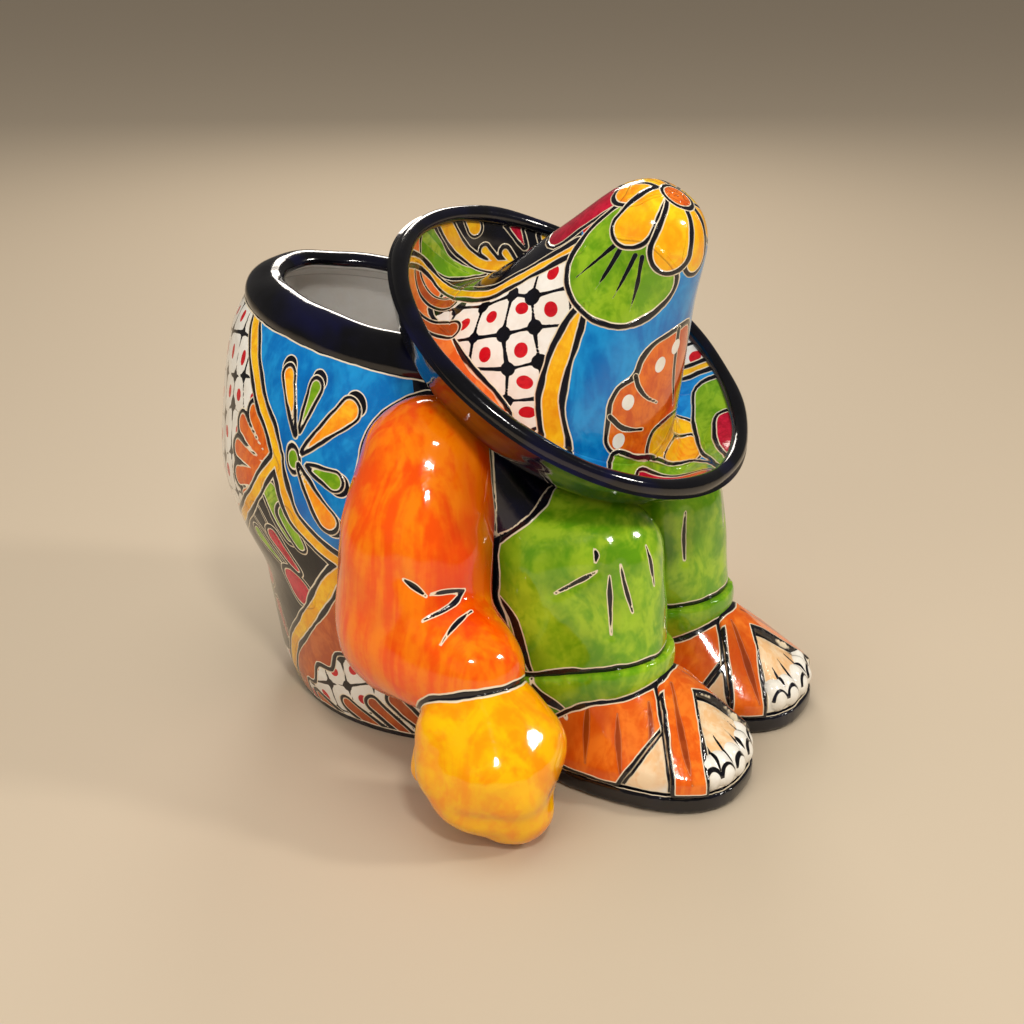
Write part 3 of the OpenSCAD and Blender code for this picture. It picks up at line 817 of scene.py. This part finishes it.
def drawHat(mesh, turns, fromTip, upperSide):
    shapes = {}

    def keep(name, centre, shape):
        values = drawOnHat(turns, fromTip, centre, shape)
        shapes[name] = np.minimum(shapes[name], values) if name in shapes else values

    def outlineOf(name, centre, points, steps=5):
        drawn = hatPoints(centre, points)
        keep(name, centre, lambda flat: panel(flat, drawn, steps))

    def petalOf(name, centre, root, tip, width, thin=0.2):
        first, last = hatPoints(centre, [root, tip])
        keep(name, centre, lambda flat: petal(flat, first, last, width, thin))

    def bandOf(name, centre, points, width):
        drawn = hatPoints(centre, points)
        keep(name, centre, lambda flat: band(flat, drawn, width))

    # white panel with its net and dots, from the back edge round to the right
    outlineOf("hatWhite", 160, [(121, 168), (101, 146), (97, 133), (111, 114), (126, 100), (131, 87),
                                (136, 74), (143, 55),
                                (160, 50), (185, 70), (188, 82), (193, 95), (200, 109), (210, 120), (222, 140),
                                (230, 168)], 3)

    def net(which):
        def shape(flat):
            return knottedNet(flat, (-62, 55), (60, 165), 15.5, 38, 5, 1.9, 3.5, 3.2)[which]
        return shape
    keep("hatNet", 160, net(0))
    keep("hatDots", 160, net(1))
    # dark panel at the back
    outlineOf("hatDark", 80, [(121, 170), (101, 146), (96, 132), (112, 112), (128, 98), (132, 86), (137, 72),
                              (148, 50), (90, 46),
                              (40, 60), (10, 90), (5, 130), (8, 170)], 3)
    outlineOf("hatGreen", 92, [(108, 168), (94, 163), (88, 153), (81, 142), (66, 134), (78, 131), (89, 133),
                               (98, 143), (109, 154)], 4)
    petalOf("hatGreenShade", 92, (76, 134), (100, 160), 5, 0.2)
    bandOf("hatCurl", 80, [(88, 170), (84, 157), (76, 145), (66, 138), (54, 140)], (12, 10, 8, 7, 6))
    petalOf("hatCurl", 76, (75, 166), (69, 152), 10, 0.7)
    petalOf("hatCurl", 60, (58, 139), (67, 147), 6, 0.6)
    petalOf("hatCurl", 56, (50, 140), (58, 147.5), 6, 0.6)
    outlineOf("hatCurl", 44, [(44, 170), (45, 158), (40, 153), (34, 160), (32, 170)], 3)
    petalOf("hatCrimson", 56, (49, 151), (58, 165), 9, 0.25)
    petalOf("hatCrimson", 20, (16, 150), (28, 162), 11, 0.3)
    petalOf("hatGreen", 20, (6, 132), (36, 140), 15, 0.3)
    # far side: net and dots again
    farWhite = hatPoints(345, [(8, 172), (4, 140), (0, 118), (338, 118), (335, 140), (332, 155), (328, 172)])
    keep("hatFarWhite", 345, lambda flat: panel(flat, farWhite, 3))
    for which, name in enumerate(("hatNet", "hatDots")):
        keep(name, 345, lambda flat, which=which: within(knottedNet(flat, (-30, 100), (30, 165), 13, 20, 9,
            1.9, 3.5, 3.2)[which],
                                                         panel(flat, farWhite, 3)))
    # orange fan along the edge, its fingers reaching over the net
    outlineOf("hatFan", 140, [(105, 172), (103, 150), (97, 137), (100, 131), (106, 128), (118, 130),
                              (130, 125), (142, 120.5),
                              (163, 118.5), (180, 118.5), (190, 122), (199, 134), (206, 172)], 4)
    petalOf("hatFinger", 118, (106, 150), (116, 118), 9.5, 0.6)
    petalOf("hatFinger", 130, (122, 148), (138, 116.5), 9.5, 0.6)
    # blue panel over the front, up on to the crown
    outlineOf("hatBlue", 250, [(186, 68), (187, 82), (193, 95), (201, 109), (212, 121), (224, 140), (232, 170),
                               (300, 170),
                               (322, 150), (326, 110), (330, 60), (320, 30), (200, 24)], 3)
    # crown: far side dark red, near side blue
    outlineOf("crownRed", 100, [(140, 26), (134, 46), (130, 62), (108, 66), (70, 60), (60, 30), (100, 20)], 3)
    outlineOf("crownLeaf", 190, [(142, 24), (141, 40), (150, 56), (163, 64), (177, 68), (195, 68.5), (214, 64),
                                 (229, 55), (240, 45),
                                 (236, 36), (215, 31), (192, 30), (168, 36), (158, 34)], 4)
    for points in ([(172, 38), (169, 48), (166, 60)], [(178, 39), (181, 49), (183, 60)],
                   [(192, 37), (195, 48), (197, 59)],
                   [(198, 36), (207, 47), (212, 58)]):
        bandOf("crownVeins", 190, points, (1.8, 1.4, 0.3))
    for coat, centre, root, tip, width in (("tipRed", 125, (120, 9), (131, 29), 17),
                                           ("tipRed", 310, (310, 7), (300, 27), 16),
                                           ("tipRed", 40, (40, 7), (40, 29), 17),
                                           ("tipPetals", 165, (150, 11), (177, 37.5), 17),
                                           ("tipPetals", 258, (262, 8), (257, 36.5), 15),
                                           ("tipPetals", 350, (350, 6), (350, 31), 16),
                                           ("tipPetals", 85, (85, 6), (85, 30), 15),
                                           ("tipOver", 222, (212, 10), (223, 38), 19)):
        petalOf(coat, centre, root, tip, width, 0.55)
    keep("tipHeart", 0, lambda flat: flat[:, 1] - 7.5)
    # dotted orange fan in three lobes and a half flower, low on the front
    outlineOf("dotFan", 250, [(280, 62), (262, 60), (250, 63), (240, 67), (234, 74), (233, 82), (227, 88),
                              (225, 95), (227, 101),
                              (229, 108), (232, 114), (240, 117), (262, 118), (278, 108), (288, 88)], 4)
    for points in ([(234, 82), (238, 86), (245, 90), (255, 93)], [(228, 101.5), (237, 105), (249, 105)],
                   [(261, 61), (266, 80), (274, 98)]):
        bandOf("fanRibs", 245, points, (2.4, 2.2, 0.8))
    for place in ((250, 76), (235, 93.5), (237, 111), (262, 69)):
        (centreDot,) = hatPoints(245, [place])
        keep("fanDots", 245, lambda flat, centre=centreDot: spot(flat, centre, 2.9, 3.4))
    outlineOf("halfFlower", 280, [(257, 118), (257, 108), (264, 104), (275, 103), (290, 107), (303, 116),
                                  (312, 128), (310, 139),
                                  (296, 143), (284, 140), (274, 128), (264, 122)], 4)
    outlineOf("innerFlower", 285, [(272, 124), (280, 120), (290, 122), (300, 131), (302, 139), (292, 145),
                                   (282, 138)], 4)
    outlineOf("rimLeaf", 256, [(236, 117), (250, 118), (262, 120.5), (275, 128), (285, 138), (282, 148),
                               (275, 157), (264, 170),
                               (244, 168), (240, 140)], 4)
    outlineOf("rimCrimson", 262, [(252, 124), (264, 129), (273, 138), (275, 149), (270, 160), (258, 156),
                                  (252, 138)], 4)
    outlineOf("rimLeaf", 300, [(324, 148), (316, 142), (306, 139.5), (293, 142), (284, 149), (276, 158),
                               (282, 170), (304, 172),
                               (322, 164)], 4)
    outlineOf("rimCrimson", 295, [(308, 153), (300, 149.5), (293, 151), (285, 156), (279, 163), (290, 169),
                                  (306, 166)], 4)
    bandOf("hatBands", 130, [(124, 172), (116, 158), (102, 146), (96, 133), (111, 114), (126, 100), (131, 87),
                             (136, 74), (146, 52)],
           (6, 6, 6, 7, 7, 6, 6))
    bandOf("hatBands", 200, [(183, 66), (185, 73), (188, 82), (193, 95), (200, 109), (210, 121), (219, 140),
                             (226, 172)],
           (3, 7, 9, 10, 10, 9, 8))
    bandOf("hatBands", 330, [(338, 116), (334, 138), (331, 152), (328, 172)], (6, 6, 6))
    for name, values in shapes.items():
        keepAttribute(mesh, name, np.where(upperSide, values, 20.0))
    keepAttribute(mesh, "underside", np.where(upperSide, 9.0, -9.0))


hatMaterial = paintMaterial("paintedHat", "blue", [
    ("hatWhite", "white", 0, 0), ("hatFarWhite", "white", 0, 0), ("hatNet", "black", 0, 0),
    ("hatDots", "red", 0, 0),
    ("hatBlue", "blue", 0, 0), ("hatDark", "black", 0, 0), ("hatGreen", "green", 1.6, 0.5),
    ("hatGreenShade", "leaf", 0, 0),
    ("hatCurl", "yellow", 1.6, 0.5), ("hatCrimson", "crimson", 1.6, 0.5), ("hatFan", "orangeEdge", 1.7, 0.55),
    ("hatFinger", "brown", 1.6, 0.5),
    ("hatBands", "yellow", 2.1, 0.55), ("crownRed", "crimson", 1.7, 0.5), ("crownLeaf", "green", 2.0, 0.55),
    ("crownVeins", "black", 0, 0), ("tipRed", "orange", 1.7, 0.5), ("tipPetals", "gold", 2.0, 0.5),
    ("tipOver", "gold", 2.0, 0.5), ("tipHeart", "rust", 1.8, 0.5),
    ("dotFan", "rust", 1.9, 0.55), ("fanRibs", "black", 0, 0.35), ("fanDots", "white", 0, 0),
    ("halfFlower", "yellow", 1.7, 0.5),
    ("innerFlower", "orange", 1.5, 0.6), ("rimLeaf", "green", 1.9, 0.55), ("rimCrimson", "crimson", 1.7, 0.55),
    ("underside", "cobalt", 0, 0)])

brimMesh, brimTurns, brimDown, brimUpper = spinHat(hat["brim"], 74, 14, 560, -1, (-1.6, 0.2))
drawHat(brimMesh, brimTurns, allAt[-1] - brimDown, brimUpper)
crownMesh, crownTurns, crownDown, crownUpper = spinHat(hat["crown"], 136, 24, 440, 0, (0.6, -1.6))
drawHat(crownMesh, crownTurns, crownLength - crownDown, crownUpper)


def placeRoll(turns, rows):
    lean = rows / 28 * math.tau
    swell = 0.25 * np.sin(6 * turns + 1) + 0.2 * np.sin(13 * turns)
    radius = hat["rollRadius"] + swell
    reach = hat["edge"] + radius * np.cos(lean) - 0.2
    return onHat(np.stack([reach * np.cos(turns), reach * np.sin(turns), radius * np.sin(lean)], 1))


rollMesh, *_ = spunSkin(28, 300, placeRoll)
rollMaterial = paintMaterial("cobaltRoll", "cobalt")
print("hat shaped and painted")

# body, arms and legs

figure = {
    "handPlace": {-1: (117, -56), 1: (100, -33)}, "handRadius": 31, "footMiddle": 38.5, "soleLong": 104,
    "soleWide": 75,
    "soleThick": 9,
}
sideNames = {-1: "right", 1: "left"}

yokeMesh = clayBlob([
    [((s * x, y, z), r) for s in (-1, 1) for x, y, z, r in ((52, -14, 140, 20), (48, -30, 114, 18),
        (34, -38, 84, 16))],
    [((0, -28, 138), 26), (tuple(onHat([(0, -5, -8)])[0]), 18)]], 2.6, 12)
headMesh = clayBlob([[(tuple(onHat([(0, 0, 33)])[0]), 28), (tuple(onHat([(0, 4, 5)])[0]), 27)]], 2.6, 8)


def groove(spots, normals, points, width, depth):
    far = stroke3d(spots, points, 0)
    return spots - normals * (depth * np.exp(-(far / width) ** 2))[:, None]


def ridge(spots, normals, points, width, height):
    return groove(spots, normals, points, width, -height)


def sleeveHulls(side):
    hx, hy = figure["handPlace"][side]
    shoulder, upper, elbow, wrist = ((70, 1, 141), 30), ((86, -2, 112), 34), ((91, -2.5, 74),
        34.5), ((hx - 12, hy + 16, 67), 23.5)
    chains = [[shoulder, upper], [upper, elbow], [elbow, wrist]]
    return [[((side * p[0], p[1], p[2]), r) for p, r in chain] for chain in chains]


def handPressed(spots, normals, depth):
    # the slow unevenness that thumbs leave in soft clay
    x, y, z = spots[:, 0], spots[:, 1], spots[:, 2]
    lumps = (np.sin(x / 7.5 + 1.3 * np.sin(z / 13)) * np.sin(y / 8.5 + 0.7)
             * np.sin(z / 9.5 + 1.1 * np.sin(x / 16)))
    return spots + normals * (depth * lumps)[:, None]


sleeveCreases = [[(119, -16, 109), (117, -21, 105), (115, -26, 102)],
                 [(114, -27, 102), (108, -32, 102), (101, -37, 101)],
                 [(101, -37, 101), (109, -33, 98), (119, -25, 93)],
                 [(104, -41, 97), (114, -38, 94), (122, -35, 86)]]


def shapeSleeve(side):
    def sculpt(spots, normals):
        for crease in sleeveCreases:
            spots = groove(spots, normals, sideways(crease, side), 3.0, 0.9)
        spots = ridge(spots, normals, sideways([(86, -34, 128), (98, -38, 108), (104, -42, 90)], side), 9, 1.0)
        spots = groove(spots, normals, sideways([(84, -32, 121), (98, -30, 122), (110, -20, 124)], side), 6,
                       1.1)
        return handPressed(groove(spots, normals,
                                  sideways([(98, -30, 132), (108, -32, 110), (112, -32, 96)], side), 7, 0.8),
                           normals, 0.8)
    return clayBlob(sleeveHulls(side), 2.2, 9, 1, sculpt)


def handHulls(side):
    hx, hy = figure["handPlace"][side]
    r = figure["handRadius"]
    fist = [((hx, hy, r - 1), r - 1.6), ((hx - 8, hy + 11, r + 20), r - 7), ((hx - 10, hy - 10, 39), 19.5)]
    knuckles = [((hx + 7, hy - 12, 26), 18), ((hx + 2, hy - 14, 17), 16.5)]
    underside = [((hx - 2, hy + 9, 15.5), 17.5), ((hx + 2, hy - 10, 16.5), 17)]
    heelOfHand = [((hx + 8, hy + 14, 47), 15.5), ((hx + 12, hy + 12, 33), 15.5)]
    return [[((side * p[0], p[1], p[2]), rad) for p, rad in group]
            for group in (fist, knuckles, underside, heelOfHand)]


def shapeHand(side):
    hx, hy = figure["handPlace"][side]

    def sculpt(spots, normals):
        fold = [(hx + 30, hy - 2, 20), (hx + 18, hy - 22, 20), (hx - 6, hy - 30, 22)]
        spots = groove(spots, normals, sideways(fold, side), 5, 1.8)
        spots = handPressed(spots, normals, 0.7)
        return ridge(spots, normals, sideways([(hx + 26, hy - 6, 42), (hx + 16, hy - 22, 40),
                                               (hx, hy - 28, 40)], side), 8, 1.4)
    return clayBlob(handHulls(side), 1.8, 7, 1, sculpt, 0.2)


def shapeThumb(side):
    hx, hy = figure["handPlace"][side]
    return clayBlob([[((side * (hx + 1), hy + 26, 41), 8.2), ((side * (hx + 7), hy + 26, 26), 8.2)]], 1.2, 3)


def legHull(side):
    return [[((side * x, y, z), r) for x, y, z, r in ((34, -67, 99, 27), (40, -42, 96, 32), (35, -70, 60, 28),
        (40, -44, 52, 32))]]


legCreases = [[(59, -76, 102), (63, -69, 97), (67, -60, 91)], [(57, -81, 100), (58, -82, 88), (58, -83, 73)],
              [(54, -85, 105), (53, -87, 95), (51, -90, 82)], [(42, -94, 112), (41, -95, 102), (40, -96, 92)],
              [(58, -74, 112), (58, -75, 109), (59, -75, 106)], [(14, -86, 104), (13, -86, 92), (14, -86, 80)]]


def shapeLeg(side):
    def sculpt(spots, normals):
        for crease in legCreases:
            spots = groove(spots, normals, sideways(crease, side), 3.4, 0.8)
        spots = handPressed(spots, normals, 0.6)
        return ridge(spots, normals, sideways([(34, -97, 118), (42, -94, 90), (40, -96, 60)], side), 10, 0.9)
    return clayBlob(legHull(side), 2.2, 8, 1, sculpt)


def cutSlab(mesh, planePoint, planeNormal, keepUnder):
    bm = bmesh.new()
    bm.from_mesh(mesh)
    cut = bmesh.ops.bisect_plane(bm, geom=bm.verts[:] + bm.edges[:] + bm.faces[:], dist=1e-6,
                                 plane_co=Vector(planePoint) * mm, plane_no=Vector(planeNormal),
                                 clear_outer=keepUnder, clear_inner=not keepUnder)
    rim = [g for g in cut["geom_cut"] if isinstance(g, bmesh.types.BMEdge)]
    bmesh.ops.holes_fill(bm, edges=rim, sides=0)
    return intoMesh(bm, "slab")


cuffTilt = math.radians(-10)
cuffNormal = (0, -math.sin(cuffTilt), math.cos(cuffTilt))


def shapeCuff(side):
    mesh = wrapBalls([((side * 35, -71, 52), 30.5), ((side * 40, -46, 44), 34.5)], 4)
    low, high = ([0, -60 - math.sin(cuffTilt) * h, 36 + math.cos(cuffTilt) * h] for h in (-6, 15))
    mesh = cutSlab(cutSlab(mesh, high, cuffNormal, True), low, cuffNormal, False)
    return finishBlob(mesh, 1.8, 7, 1)


def soleEdge(a, grow, side):
    ca, sa = math.cos(a), math.sin(a)
    return (side * (figure["footMiddle"] + math.copysign(1, ca) * (figure["soleWide"] / 2 + grow)
                    * abs(ca) ** 0.8),
            -89.5 + math.copysign(1, sa) * (figure["soleLong"] / 2 + grow) * abs(sa) ** 0.8)


def shapeSole(side):
    bm = bmesh.new()
    bmesh.ops.create_circle(bm, cap_ends=True, radius=1, segments=120)
    for v in bm.verts:
        x, y = soleEdge(math.atan2(v.co.y, v.co.x), -0.2, side)
        v.co = Vector((x, y, 0.3)) * mm
    bmesh.ops.recalc_face_normals(bm, faces=bm.faces)
    raised = bmesh.ops.extrude_face_region(bm, geom=bm.faces[:])
    tops = [g for g in raised["geom"] if isinstance(g, bmesh.types.BMVert)]
    bmesh.ops.translate(bm, verts=tops, vec=(0, 0, (figure["soleThick"] - 0.5) * mm))
    return finishBlob(intoMesh(bm, "sole"), 1.4, 6, 1)


def footBalls(side, grow=0.0):
    return [((side * x, y, z), r + grow) for x, y, z, r in ((34.5, -110, 20, 18), (35.5, -84, 26, 26),
        (36.5, -62, 30, 28))]


def footMesh(side, grow, voxel, relax, refine=1):
    edge = [soleEdge(k / 90 * math.tau, grow - 2, side) for k in range(90)]
    points = [(x, y, figure["soleThick"] + rise) for x, y in edge for rise in (-1, 8)]
    return finishBlob(wrapBalls(footBalls(side, grow), 4, points), voxel, relax, refine)


toeTurns = [math.radians(a) for a in range(-116, -59, 14)]


def shapeToes(side):
    groups = []
    for a in toeTurns:
        x, y = soleEdge(a, -6.5, side)
        groups.append([((x, y, 14.5), 6.8), ((x, y + 2, 18), 6), ((x * 0.92 + side * 3, y + 10, 17), 6)])
    return clayBlob(groups, 1.1, 4)


strapFoot = ((0, 0, figure["soleThick"] + 0.4), (0, 0, -1))  # straps end just above the sole


def strapShell(side, planes, grow):
    # a patch of the foot's skin, grown a little, trimmed by planes and given its thickness
    bm = bmesh.new()
    bm.from_mesh(footMesh(side, grow, 1.6, 4, 0))
    for point, normal in planes + [strapFoot]:
        bmesh.ops.bisect_plane(bm, geom=bm.verts[:] + bm.edges[:] + bm.faces[:], dist=1e-6,
                               plane_co=Vector(point) * mm, plane_no=Vector(normal), clear_outer=True)
    bmesh.ops.solidify(bm, geom=bm.faces[:], thickness=(grow + 1.9) * mm)
    return intoMesh(bm, "strap")


def edgeDistance(mesh, planes):
    spots, best = vertexArray(mesh) * 1000, 1e3
    for point, normal in planes + [strapFoot]:
        unit = np.array(normal) / np.linalg.norm(normal)
        best = np.minimum(best, -(spots - np.array(point)) @ unit)
    return best - 1.1


def shapeAnkleStrap(side):
    lean = math.radians(28)
    planes = [((0, -92, 0), (0, -math.cos(lean), -math.sin(lean)))]
    mesh = finishBlob(strapShell(side, planes, 2.1), 1.1, 3, 1)
    keepAttribute(mesh, "edge", edgeDistance(mesh, planes))
    return mesh


def shapeInstepStrap(side):
    middle, slant = side * (figure["footMiddle"] - 3), 0.72
    whole, edges = bmesh.new(), []
    for arm in (-1, 1):
        borders = [((middle, -93, 0), (arm * slant, 1, 0)), ((middle, -115, 0), (-arm * slant, -1, 0))]
        whole.from_mesh(strapShell(side, [((middle - arm * 0.5, 0, 0), (-arm, 0, 0))] + borders, 3.5))
        edges.append(borders)
    mesh = bpy.data.meshes.new("strap")
    whole.to_mesh(mesh)
    whole.free()
    mesh = finishBlob(mesh, 1.1, 3, 1)
    keepAttribute(mesh, "edge", np.maximum(*[edgeDistance(mesh, borders) for borders in edges]))
    return mesh


# the dark line where forearm and hand lie against the leg
armOutline = {"trouser_leg": [(68, -28, 90), (70, -41, 78), (71, -47, 62), (71, -52, 48)],
              "trouser_cuff": [(72, -51, 51), (71, -54, 44), (69, -61, 39), (67, -67, 33)],
              "ankle_strap": [(66, -66, 33), (69, -71, 26), (73, -75, 16), (75, -79, 8)]}
ankleStrokes = [[(65, -90, 40), (73, -94, 29), (79, -98, 17)], [(67, -76, 44), (75, -78, 31), (81, -80, 18)],
                [(55, -101, 44), (65, -107, 30), (72, -113, 16)]]
instepStrokes = [[(42, -107, 50), (60, -121, 36), (74, -132, 18)],
                 [(50, -104, 48), (66, -115, 34), (78, -124, 18)],
                 [(28, -107, 50), (16, -120, 34), (8, -130, 18)]]


shapers = {"sleeve": shapeSleeve, "hand": shapeHand, "thumb": shapeThumb, "trouser_leg": shapeLeg,
           "trouser_cuff": shapeCuff,
           "foot": lambda side: footMesh(side, 0, 1.8, 6), "sole": shapeSole, "toes": shapeToes,
           "ankle_strap": shapeAnkleStrap, "instep_strap": shapeInstepStrap}
limbs = {(part, side): shape(side) for part, shape in shapers.items() for side in (-1, 1)}
print("limbs shaped")

# painted lines where pieces meet


def joinTo(mesh, name, others, offset=0.0):
    keepAttribute(mesh, name, nearness(mesh, others) - offset)


def strokesOn(mesh, name, lines, width):
    spots = vertexArray(mesh) * 1000
    tree = BVHTree.FromPolygons([v.co for v in mesh.vertices], [p.vertices for p in mesh.polygons])
    laid = [[tuple(tree.find_nearest(Vector(point) * mm)[0] * 1000) for point in line] for line in lines]
    keepAttribute(mesh, name, union(*[stroke3d(spots, line, width) for line in laid]))


for side in (-1, 1):
    part = {name: limbs[name, side] for name in shapers}
    joinTo(part["sleeve"], "join", [part["hand"], part["trouser_leg"]], 0.3)
    joinTo(part["sleeve"], "potJoin", [potMesh, yokeMesh])
    strokesOn(part["sleeve"], "creases", [sideways(c, side) for c in sleeveCreases], 2.2)
    joinTo(part["hand"], "join", [part["sleeve"]], 0.2)
    joinTo(part["trouser_leg"], "join", [part["trouser_cuff"]], 0.6)
    joinTo(part["trouser_leg"], "bodyJoin", [part["sleeve"], yokeMesh])
    strokesOn(part["trouser_leg"], "creases", [sideways(c, side) for c in legCreases], 1.9)
    joinTo(part["trouser_cuff"], "join", [part["foot"], part["hand"]], 0.4)
    joinTo(part["foot"], "join", [part["trouser_cuff"], part["ankle_strap"], part["instep_strap"]], 0.2)
    joinTo(part["foot"], "soleJoin", [part["sole"]], 0.4)
    joinTo(part["ankle_strap"], "join", [part["trouser_cuff"], part["instep_strap"]], 0.4)
    strokesOn(part["ankle_strap"], "strokes", [sideways(line, side) for line in ankleStrokes], 2.6)
    strokesOn(part["instep_strap"], "strokes", [sideways(line, side) for line in instepStrokes], 3.0)
    joinTo(part["instep_strap"], "join", [part["trouser_cuff"]], 0.4)
    joinTo(part["sole"], "join", [part["foot"], part["toes"]], 0.8)
    for name, line in armOutline.items():
        strokesOn(part[name], "outline", [sideways(line, side)], 3.8)
    toeLines = []
    for a in toeTurns[:-1]:
        reach = [soleEdge(a + math.radians(7), grow, side) for grow in (-2, -6, -13)]
        toeLines.append([(reach[0][0], reach[0][1], 19), (reach[1][0], reach[1][1], 24),
                         (reach[2][0], reach[2][1], 30)])
    for name in ("foot", "toes"):
        mesh = part[name]
        spots = vertexArray(mesh) * 1000
        strokesOn(mesh, "toeLines", toeLines, 1.6)
        nails = [np.linalg.norm((spots - np.array([*soleEdge(a, -2.0, side), 14.0])) / (1.0, 1.0, 1.5),
                                axis=1) - 4.4
                 for a in toeTurns]
        keepAttribute(mesh, "nails", np.maximum(np.abs(union(*nails)) - 0.65, 15.5 - spots[:, 2]))
        keepAttribute(mesh, "toeWhite", (spots[:, 1] + 131) * 0.5 + (spots[:, 2] - 21) * 0.9)
    joinTo(part["toes"], "join", [part["sole"]], 0.3)

potNeighbours = [limbs["sleeve", s] for s in (-1, 1)] + [limbs["trouser_leg", s] for s in (-1, 1)]
joinTo(potMesh, "sleeveJoin", potNeighbours, 2.2)
joinTo(yokeMesh, "join", potNeighbours, 0.2)

limbMaterials = {
    "sleeve": paintMaterial("orangeSleeve", "sleeve", [("potJoin", None, 3.0, 0.6), ("join", None, 2.3, 0.6),
                                                       ("creases", "black", 0, 0.45)], 0.45, 0.07),
    "hand": paintMaterial("amberHand", "hand", [("join", None, 1.1, 0.7)], 0.4, 0.05),
    "thumb": paintMaterial("amberThumb", "hand", (), 0.4, 0.05),
    "trouser_leg": paintMaterial("greenTrouser", "trouser",
        [("outline", "black", 0, 0.6), ("bodyJoin", None, 4.6, 0.7), ("join", None, 4.2, 0.6),
                                                             ("creases", "black", 0, 0.4)], 0.45, 0.08),
    "trouser_cuff": paintMaterial("greenCuff", "trouser",
                                  [("outline", "black", 0, 0.6), ("join", None, 3.8, 0.7)], 0.45, 0.08),
    "foot": paintMaterial("peachFoot", "skin",
        [("toeWhite", "white", 0, 0, 3.0), ("nails", "black", 0, 0), ("toeLines", "black", 0, 0),
                                                ("join", None, 1.8, 0.5), ("soleJoin", None, 1.4, 0.5)], 0.4),
    "toes": paintMaterial("whiteToes", "white",
        [("nails", "black", 0, 0), ("toeLines", "black", 0, 0), ("join", None, 1.4, 0.5)], 0.4),
    "sole": paintMaterial("blackSole", "black", [("join", None, 0.0, 0.45)], 0.4),
    "ankle_strap": paintMaterial("rustAnkleStrap", "strap",
        [("strokes", "umber", 0, 0, 0.8), ("outline", "black", 0, 0.6), ("edge", None, 1.7, 0.5),
         ("join", None, 1.8, 0.5)], 0.4),
    "instep_strap": paintMaterial("rustInstepStrap", "strap",
        [("strokes", "umber", 0, 0, 0.8), ("edge", None, 1.7, 0.5), ("join", None, 2.6, 0.5)], 0.4),
}
yokeMaterial = paintMaterial("cobaltYoke", "cobalt", [("join", None, 0.0, 0.5)])
headMaterial = paintMaterial("plainHead", "headClay")
print("joins painted")

# every piece takes its place

linkPiece(potMesh, "potWall", potMaterial, ["pot_wall"], "pot_wall")
linkPiece(floorMesh, "potFloor", floorMaterial, ["base_slab"], "pot_inside")
linkPiece(rimMesh, "mouthRim", rimMaterial, ["mouth_rim"], "mouth_rim")
linkPiece(yokeMesh, "shoulderYoke", yokeMaterial, ["shoulder_yoke"], "yoke")
linkPiece(headMesh, "bowedHead", headMaterial, ["bowed_head"], "head")
linkPiece(brimMesh, "hatBrim", hatMaterial, ["hat_brim"], "hat_brim")
linkPiece(rollMesh, "hatRoll", rollMaterial, ["hat_brim_roll"], "hat_brim_roll")
linkPiece(crownMesh, "hatCrown", hatMaterial, ["hat_crown"], "hat_crown")
for (part, side), mesh in limbs.items():
    words = part.split("_")
    name = sideNames[side] + "".join(word.capitalize() for word in words)
    linkPiece(mesh, name, limbMaterials[part], [f"{sideNames[side]}_{part}"], part)

# floor

bm = bmesh.new()
bmesh.ops.create_grid(bm, x_segments=1, y_segments=1, size=6)
floorPlane = intoMesh(bm, "studioFloor")
studioFloor = bpy.data.objects.new("studioFloor", floorPlane)
bpy.context.scene.collection.objects.link(studioFloor)
floorPaint = bpy.data.materials.new("paleFloor")
floorPaint.use_nodes = True
floorPaint.node_tree.nodes["Principled BSDF"].inputs["Base Color"].default_value = shade(196, 180, 157)
floorPaint.node_tree.nodes["Principled BSDF"].inputs["Roughness"].default_value = 0.6
floorPlane.materials.append(floorPaint)

print("all pieces placed")
